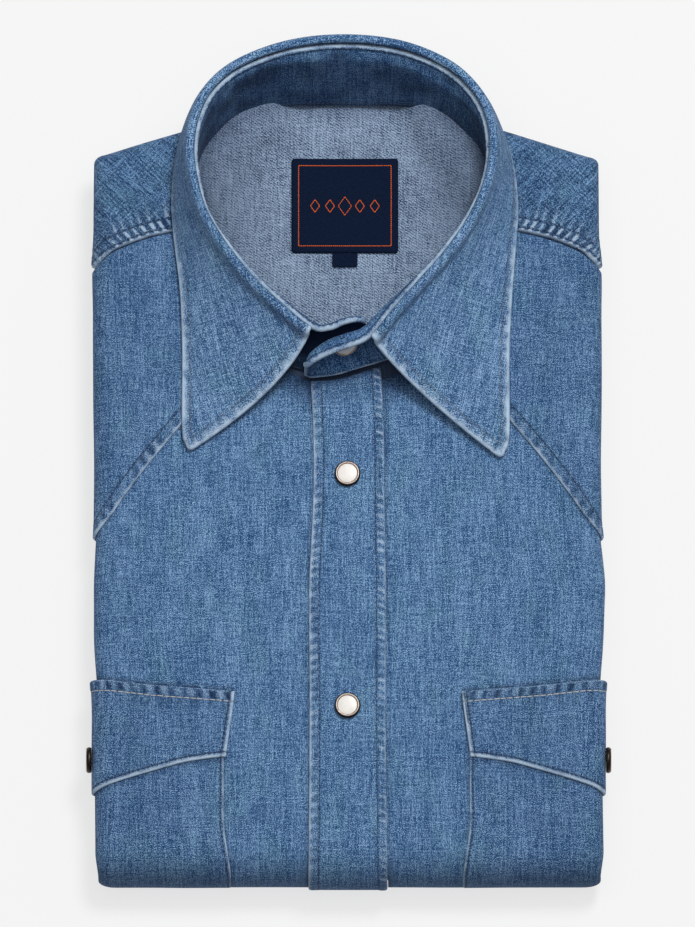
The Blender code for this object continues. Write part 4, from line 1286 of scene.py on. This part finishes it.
def stand_knee(top, out, turn):
    """Where the stand starts to turn outwards."""
    return top - out * turn - UP * STAND_KNEE * turn


def resample(curves, places):
    """Points at given distances along curves. curves is (columns, steps, 3), places (columns, rows)."""
    run = arc_length(curves, axis=1)
    return np.stack([
        np.stack([np.interp(places[i], run[i], curves[i, :, k]) for k in range(3)], axis=-1)
        for i in range(len(curves))
    ])


def make_stand():
    last = len(STAND) - 1.0
    ends = np.array([0.0, 0.03, 0.08, 0.16, 0.3])
    at = np.concatenate([ends, np.linspace(0.3, last - 0.3, 420)[1:-1], last - ends[::-1]])
    base, top, out, turn = stand_rows(at)
    knee = stand_knee(top, out, turn)
    straight = base + (knee - base) * STAND_STRAIGHT
    t = np.linspace(0, 1, 24)[None, :, None]
    low = base[:, None] * (1 - t[:, :-1]) + straight[:, None] * t[:, :-1]
    high = bezier(straight[:, None], knee[:, None], top[:, None], t)
    curve = np.concatenate([low, high], axis=1)
    length = arc_length(curve, axis=1)[:, -1]
    places = rows_between(length * 0, length, EDGE_STEPS, around(0.0021), 22)
    grid = resample(curve, places)
    flat = stacked(arc_length(grid[:, -1:], axis=0), places)
    inwards = -np.broadcast_to(out[:, None], grid.shape)
    from_top = length[:, None] - places
    # Its front ends: the wearer's right lies under the left.
    under, over = 1 - ramp(at[:, None], 4.5, 6.5), ramp(at[:, None], 24.5, 26.5)
    # face is painted shade on the stand's inner face below a pale band under its upper edge; back is painted
    # shade on its outer face, near black where the under end lies in shadow.
    mottle = 0.16 * noise(flat[..., 0] / 0.011, flat[..., 1] / 0.006, 171)
    band = 0.0042 + 0.0080 * both(under, over)
    face = np.clip(0.70 * ramp(from_top + mottle * 0.02, band, band + 0.0050) + mottle, 0.0, 1.0)
    back = 0.985 * under * ramp(from_top, 0.0010, 0.0026) + 0.22 * over * ramp(from_top, 0.0030, 0.0080)
    back = np.clip(back + 1.5 * mottle, 0.0, 1.0)
    top_look = {"rim": 0.70, "rim_width": 0.0008, "dark": 0.25, "flat": 0.00024, "wash": 0.75}
    seams = (
        Seam("end", (0.0021,), 103, pitch=0.0034, wash_width=0.0012, dent=0.95, **top_look),
        Seam("start", (0.0016,), 107, rim=0.95, rim_width=0.0010, dent=0.95),
        Seam("high", (0.0020,), 109, rim=0.9, rim_width=0.0012, wash=0.5, dent=0.8),
    )
    name = "collar_stand_cloth"
    piece(name, grid, inwards, flat, COLLAR_WALL, DENIM_STAND, seams, face, centred=True, behind=back)


LEAF_STEPS = np.array([  # places near the points, in rows of the stand
    0.0, 0.010, 0.025, 0.05, 0.08, 0.11, 0.14, 0.17, 0.20, 0.23, 0.26,
    0.29, 0.32, 0.36, 0.40, 0.44, 0.48, 0.53, 0.58, 0.64, 0.70,
])
NEAR_ROLL = (  # rows down from the stand's edge
    0.0, 0.0003, 0.0008, 0.0014, 0.0020, 0.0027, 0.0034, 0.0042, 0.0050, 0.0060, 0.0072, 0.0086, 0.0100,
)


def leaf_cloth(at, roll, out, free, places):
    """The leaf's flat places. The grain runs along the roll behind the neck, and turns across the points."""
    front = np.maximum(1 - ramp(at, 6.5, 9.5), ramp(at, 20.5, 23.5))
    plan = unit((free - roll)[:, :2] * front[:, None] + out[:, :2] * 0.05 * (1 - front[:, None]))
    roll_way = unit(np.gradient(roll[:, :2], axis=0))
    angle_roll = np.unwrap(np.arctan2(roll_way[:, 1], roll_way[:, 0]))
    point_way = np.where(at < LEAF_MIDDLE, math.pi / 2 + LEAF_LEAN, -math.pi / 2 - LEAF_LEAN)
    wanted = point_way + 2 * math.pi * np.round((angle_roll - point_way) / (2 * math.pi))
    angle = angle_roll * (1 - front) + wanted * front
    steps = turned(np.diff(roll[:, :2], axis=0), -(angle[1:] + angle[:-1]) / 2)
    base = np.concatenate([[[0.0, 0.0]], np.cumsum(steps, axis=0)])
    flat = base[:, None] + turned(plan, -angle)[:, None] * places[..., None]
    return flat[..., ::-1]


def make_leaf():
    first, last = LEAF[0][0] + LEAF_STEPS, LEAF[-1][0] - LEAF_STEPS[::-1]
    at = np.concatenate([first, np.linspace(first[-1], last[0], 330)[1:-1], last])
    _, top, out, _ = stand_rows(at)
    roll = np.stack([top + out * o + UP * z for o, z in ROLL], axis=1)
    free = np.stack([table(LEAF, at, k, soft=0.32) for k in (1, 2, 3)], axis=-1)
    hollow = table(LEAF, at, 4, soft=0.32)[:, None]
    start = roll[:, -1]
    reach = np.linalg.norm((free - start)[:, :2], axis=-1, keepdims=True)
    swing = start + out * LEAF_SWING * reach
    t = np.linspace(0, 1, 60)[1:]
    fall = bezier(start[:, None], swing[:, None], free[:, None], t[None, :, None])
    fall[..., 2] = free[:, None, 2] + (start[:, None, 2] - free[:, None, 2]) * (1 - t[None]) ** hollow
    crown = np.concatenate([roll, fall[:, 2:3]], axis=1)
    k = np.linspace(0, 3, 40)
    smooth = np.stack([spline(crown[i], k) for i in range(len(at))])
    curve = np.concatenate([smooth, fall], axis=1)
    length = arc_length(curve, axis=1)[:, -1]
    places = rows_between(length * 0, length, NEAR_ROLL, around(0.0040), 40)
    grid = resample(curve, places)
    flat = leaf_cloth(at, roll[:, 1], out, free, places)
    inside = ramp(places, 0.008, 0.02)
    lift = 0.00025 * noise(flat[..., 0] / 0.023, flat[..., 1] / 0.026, 113) * inside
    grid[..., 2] += lift * ramp(length[:, None] - places, 0.001, 0.006)
    outwards = np.broadcast_to(out[:, None] + UP, grid.shape)
    look = {"rim": 0.75, "rim_width": 0.0012, "wash": 0.85, "dent": 0.5, "thread": "stitch_grey"}
    look.update({"pitch": 0.0060, "lit": 0.30, "dark": 0.12, "puff": 0.00008, "flat": 0.00016})
    seams = (
        Seam("end", (0.0040,), 127, **look),
        Seam("low", (0.0050,), 131, wash_width=0.0034, **look),
        Seam("high", (0.0050,), 137, wash_width=0.0034, **look),
    )
    # Painted shade in the crease where the leaf rolls out of the stand.
    shade = gap_shade(places, 0.9, 0.0009)
    piece("collar_leaf_cloth", grid, outwards, flat, COLLAR_WALL, DENIM_COLLAR, seams, shade, centred=True)


# Label, snaps and the hidden pack.


def label_face(x, y):
    """The height of a label's upper face."""
    return inner_z(x, y) + (GAP + LABEL_WALL + 0.00018 * noise(x / 0.014, y / 0.012, 139))


def make_label(name, xs, ys, round_by, bottom_only=False):
    """A woven label that lies on the back yoke's inside, its corners a little rounded."""
    x, y = np.meshgrid(np.linspace(xs[0], xs[1], 44), np.linspace(ys[1], ys[0], 40), indexing="ij")
    from_left, from_right, from_low, from_high = x - xs[0], xs[1] - x, y - ys[0], ys[1] - y
    across = np.minimum(from_left, from_right)
    up = from_low if bottom_only else np.minimum(from_low, from_high)
    pull = np.clip(round_by - up, 0.0, None) / round_by
    inset = round_by * (1 - np.sqrt(np.maximum(0.0, 1 - pull**2))) * np.clip(1 - across / round_by, 0.0, 1.0)
    x = x + np.where(from_left < from_right, inset, -inset)
    shell(name, stacked(x, y, label_face(x, y)), stacked(x, y, inner_z(x, y) + GAP), stacked(x, y), LABEL)


def make_label_border():
    """A thin orange inset border with a row of small diamonds, woven into the label."""
    (left, right), (low, high) = LABEL_X, LABEL_Y
    x0, x1, y0, y1 = left + BORDER_IN, right - BORDER_IN, low + BORDER_IN, high - BORDER_IN
    rings = [[(x0, y0), (x1, y0), (x1, y1), (x0, y1), (x0, y0)]]
    for k in range(-2, 3):
        x, y = (left + right) / 2 + k * DIAMONDS_APART, (low + high) / 2
        across, up = DIAMOND if k else MIDDLE_DIAMOND
        rings.append([(x - across, y), (x, y + up), (x + across, y), (x, y - up), (x - across, y)])
    rows = []
    for ring in rings:
        for a, b in zip(ring, ring[1:]):
            t = np.linspace(0, 1, 30)[:, None]
            x, y = (np.array(a) * (1 - t) + np.array(b) * t).T
            rows.append((stacked(x, y, label_face(x, y)), np.tile(UP, (len(t), 1))))
    sewn("label_border", rows, ORANGE, length=0.00085, space=0.00005, width=0.00022, height=0.00010)


# A snap's profile from the middle of its cap outwards: radius share, height share, material.
SNAP_PROFILE = (
    # 0, the pearl
    (0.00, 0.90, 0), (0.20, 0.895, 0), (0.40, 0.88, 0), (0.58, 0.85, 0), (0.69, 0.81, 0), (0.735, 0.77, 0),
    # 1, the ring
    (0.745, 0.79, 1), (0.770, 0.90, 1), (0.820, 0.97, 1), (0.860, 0.985, 1), (0.895, 0.95, 1),
    (0.915, 0.87, 1),
    # 2, the rim
    (0.925, 0.83, 2), (0.960, 0.76, 2), (0.985, 0.62, 2), (1.00, 0.45, 2), (0.99, 0.18, 2), (0.93, 0.0, 2),
    (0.0, 0.0, 2),
)


def make_snap(name, place, facing):
    """A pearl snap with its ring and rim, its back at the place."""
    rings = SNAP_PROFILE[1:-1]
    points = []
    for share, height, _ in rings:
        for k in range(SNAP_SIDES):
            angle, radius = 2 * math.pi * k / SNAP_SIDES, share * SNAP_R
            points.append((radius * math.cos(angle), radius * math.sin(angle), height * SNAP_H))
    faces = tube(len(rings), SNAP_SIDES).tolist()
    kinds = [kind for _, _, kind in rings[1:] for _ in range(SNAP_SIDES)]
    top, low, last = len(points), len(points) + 1, len(points) - SNAP_SIDES
    points += [(0.0, 0.0, SNAP_PROFILE[0][1] * SNAP_H), (0.0, 0.0, 0.0)]
    for k in range(SNAP_SIDES):
        n = (k + 1) % SNAP_SIDES
        faces += [(top, k, n), (low, last + n, last + k)]
        kinds += [0, 2]
    turn = Vector((0, 0, 1)).rotation_difference(Vector(facing)).to_matrix()
    made = solid(name, [Vector(place) + turn @ Vector(p) for p in points], faces, PEARL, RING, RIM)
    made.data.polygons.foreach_set("material_index", kinds)


def make_snaps():
    lift = PLACKET_LIFT + GAP
    for number, y in enumerate(FRONT_SNAPS_Y, 1):
        place = form(1, 0.0, y, lift + sway(1, np.array(0.0), np.array(y)))
        make_snap(f"pearl_snap_{number}", place, (0, 0, 1))
    for side, name in ((-1, "pearl_snap_right"), (1, "pearl_snap_left")):
        place = form(side, FLAT_HALF + SIDE_GIRTH / 2, FLAP_SNAP_Y, ON_POCKET + GAP)
        make_snap(name, place, (side, 0, 0))
    base, top, out, turn = (x[0] for x in stand_rows(np.array([NECK_SNAP_ROW])))
    up = unit(unit(stand_knee(top, out, turn) - base) + UP)
    make_snap("pearl_snap_neck", NECK_SNAP, unit(out - up * (out * up).sum()))


def hidden_outline(x, inset):
    """The hidden pack's outline across x: over its top, round the bend, and up past its layers' ends."""
    end = float(top_edge(x)) - inset
    under_yoke = FRONT_WALL + GAP
    upper_end = end - LAYERS[0][0]
    back = min(HIDDEN_BACK, upper_end - LAYER_ROUND)
    points = []
    for y in [upper_end, *np.linspace(back, HIDDEN_STEP[0], 8), *HIDDEN_STEP[1:]]:
        level = float(inner_z(x, y)) - under_yoke if y > HIDDEN_STEP[1] else STACK_H - under_yoke
        points.append((y, level - inset))
    radius = BEND_R - FRONT_WALL - GAP - inset
    for angle in np.linspace(0.0, math.pi, 17):
        points.append((BEND_Y - radius * math.sin(angle), BEND_R + radius * math.cos(angle)))
    for number, (inward, upper, lower) in enumerate(reversed(LAYERS)):
        low, high = max(lower, FRONT_WALL + GAP + inset), min(upper, INNER_Z - under_yoke - inset)
        middle, thick = (low + high) / 2, (high - low) / 2
        ripple = 0.0011 * float(noise(np.array(x / 0.019), np.array(number * 3.3), 149))
        droop = 0.00035 * float(noise(np.array(x / 0.027 + 5), np.array(number * 2.1), 151))
        out = end - inward - max(0.0, ripple)
        points.append((out - LAYER_SLOT * 0.8, low + 0.0002))
        for angle in np.linspace(-math.pi / 2, math.pi / 2, 9):
            level = middle + droop * 0.5 + thick * 0.96 * math.sin(angle)
            points.append((out - thick * 0.7 * (1 - math.cos(angle)), level))
        if upper != LAYERS[0][1]:
            points.append((out - LAYER_SLOT, high + GAP / 2))
    return points


def make_hidden():
    half = FLAT_HALF - HIDDEN_SIDE
    flat = half - HIDDEN_ROUND
    stations = [(-half, HIDDEN_ROUND), (-half + HIDDEN_ROUND * 0.4, HIDDEN_ROUND * 0.3)]
    stations += [(x, 0.0) for x in np.linspace(-flat, flat, 110)]
    stations += [(half - HIDDEN_ROUND * 0.4, HIDDEN_ROUND * 0.3), (half, HIDDEN_ROUND)]
    rings = np.array([[(x, y, z) for y, z in hidden_outline(x, inset)] for x, inset in stations])
    count, sides = rings.shape[:2]
    faces = tube(count, sides).tolist()
    faces += [range(sides), range(count * sides - 1, (count - 1) * sides - 1, -1)]
    made = solid("folded_layers", rings.reshape(-1, 3), faces, DENIM)
    for end in (-1, -2):
        made.data.polygons[end].use_smooth = False
    lay_flat(made.data, stacked(rings[..., 0], arc_length(rings, axis=1)))


# Making it.

make_hidden()
make_back_yoke()
for side, hand in ((-1, "right"), (1, "left")):
    make_front(f"front_{hand}_cloth", side)
    make_front_yoke(f"yoke_front_{hand}_cloth", side)
    make_shoulder(f"yoke_shoulder_{hand}_cloth", side)
    make_pocket(f"pocket_{hand}_cloth", side)
    make_flap(f"flap_{hand}_cloth", side)
make_placket()
make_stand()
make_leaf()
make_label("woven_label", LABEL_X, LABEL_Y, 0.0007)
make_label("woven_size_tab", TAB_X, TAB_Y, 0.0012, bottom_only=True)
make_label_border()
make_snaps()
for key, (material, look) in THREADS.items():
    sewn(f"seam_{key}", SEWN[key], material, **look)

STANDS_FOR = {
    "folded_layers": ("hidden_layers", "denim"),
    "back_yoke_inside": ("back_yoke", "denim_inside"),
    "placket_cloth": ("placket", "denim"),
    "collar_stand_cloth": ("collar_stand", "denim"),
    "collar_leaf_cloth": ("collar_leaf", "denim"),
    "woven_label": ("label", "label"),
    "woven_size_tab": ("size_tab", "label"),
    "label_border": (None, "label"),
    "pearl_snap_1": ("snap_front_1", "snap"),
    "pearl_snap_2": ("snap_front_2", "snap"),
    "pearl_snap_left": ("snap_flap_left", "snap"),
    "pearl_snap_right": ("snap_flap_right", "snap"),
    "pearl_snap_neck": ("snap_neck", "snap"),
}
for hand in ("left", "right"):
    for name in ("front", "yoke_front", "yoke_shoulder", "pocket", "flap"):
        STANDS_FOR[f"{name}_{hand}_cloth"] = (f"{name}_{hand}", "denim")
for name, made in PIECES.items():
    node, slot = STANDS_FOR.get(name, (None, "denim"))
    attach(made, "root")
    if node:
        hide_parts(node)


# Floor, light and camera.

FLOOR_Z = -0.0002
FLOOR_HALF = 4
floor = bpy.data.meshes.new("floor")
corners = [(FLOOR_HALF * x, FLOOR_HALF * y, FLOOR_Z) for x, y in ((-1, -1), (1, -1), (1, 1), (-1, 1))]
floor.from_pydata(corners, [], [(0, 1, 2, 3)])
floor.materials.append(glowing_floor("pale glowing floor"))
ground = bpy.data.objects.new("floor", floor)
bpy.context.scene.collection.objects.link(ground)


def lamp(name, place, size, energy, aim=(0.0, 0.0, 0.02)):
    data = bpy.data.lights.new(name, "AREA")
    data.shape, data.size, data.energy = "DISK", size, energy
    made = bpy.data.objects.new(name, data)
    made.location = place
    made.rotation_euler = (Vector(aim) - Vector(place)).to_track_quat("-Z", "Y").to_euler()
    bpy.context.scene.collection.objects.link(made)


lamp("key", (0.60, 1.00, 2.7), 0.9, 53.0)
lamp("fill", (0.0, -0.1, 3.2), 2.8, 30.0)
world = bpy.data.worlds.new("studio")
world.use_nodes = True
world.node_tree.nodes["Background"].inputs["Color"].default_value = (1.0, 1.0, 1.0, 1.0)
world.node_tree.nodes["Background"].inputs["Strength"].default_value = 0.24
bpy.context.scene.world = world
bpy.context.scene.view_settings.view_transform = "Standard"

CAMERA_AWAY = 12.0
CAMERA_LEAN = math.radians(15)
CAMERA_AIM = Vector((0.0, -0.0005, 0.030))
VIEW_TALL = 0.4213
data = bpy.data.cameras.new("camera")
data.sensor_width = 36.0
data.lens = 36.0 * CAMERA_AWAY / VIEW_TALL
data.clip_end = 50.0
camera = bpy.data.objects.new("camera", data)
camera.location = CAMERA_AIM + Vector((0, -math.sin(CAMERA_LEAN), math.cos(CAMERA_LEAN))) * CAMERA_AWAY
camera.rotation_euler = (CAMERA_LEAN, 0, 0)
bpy.context.scene.collection.objects.link(camera)
bpy.context.scene.camera = camera
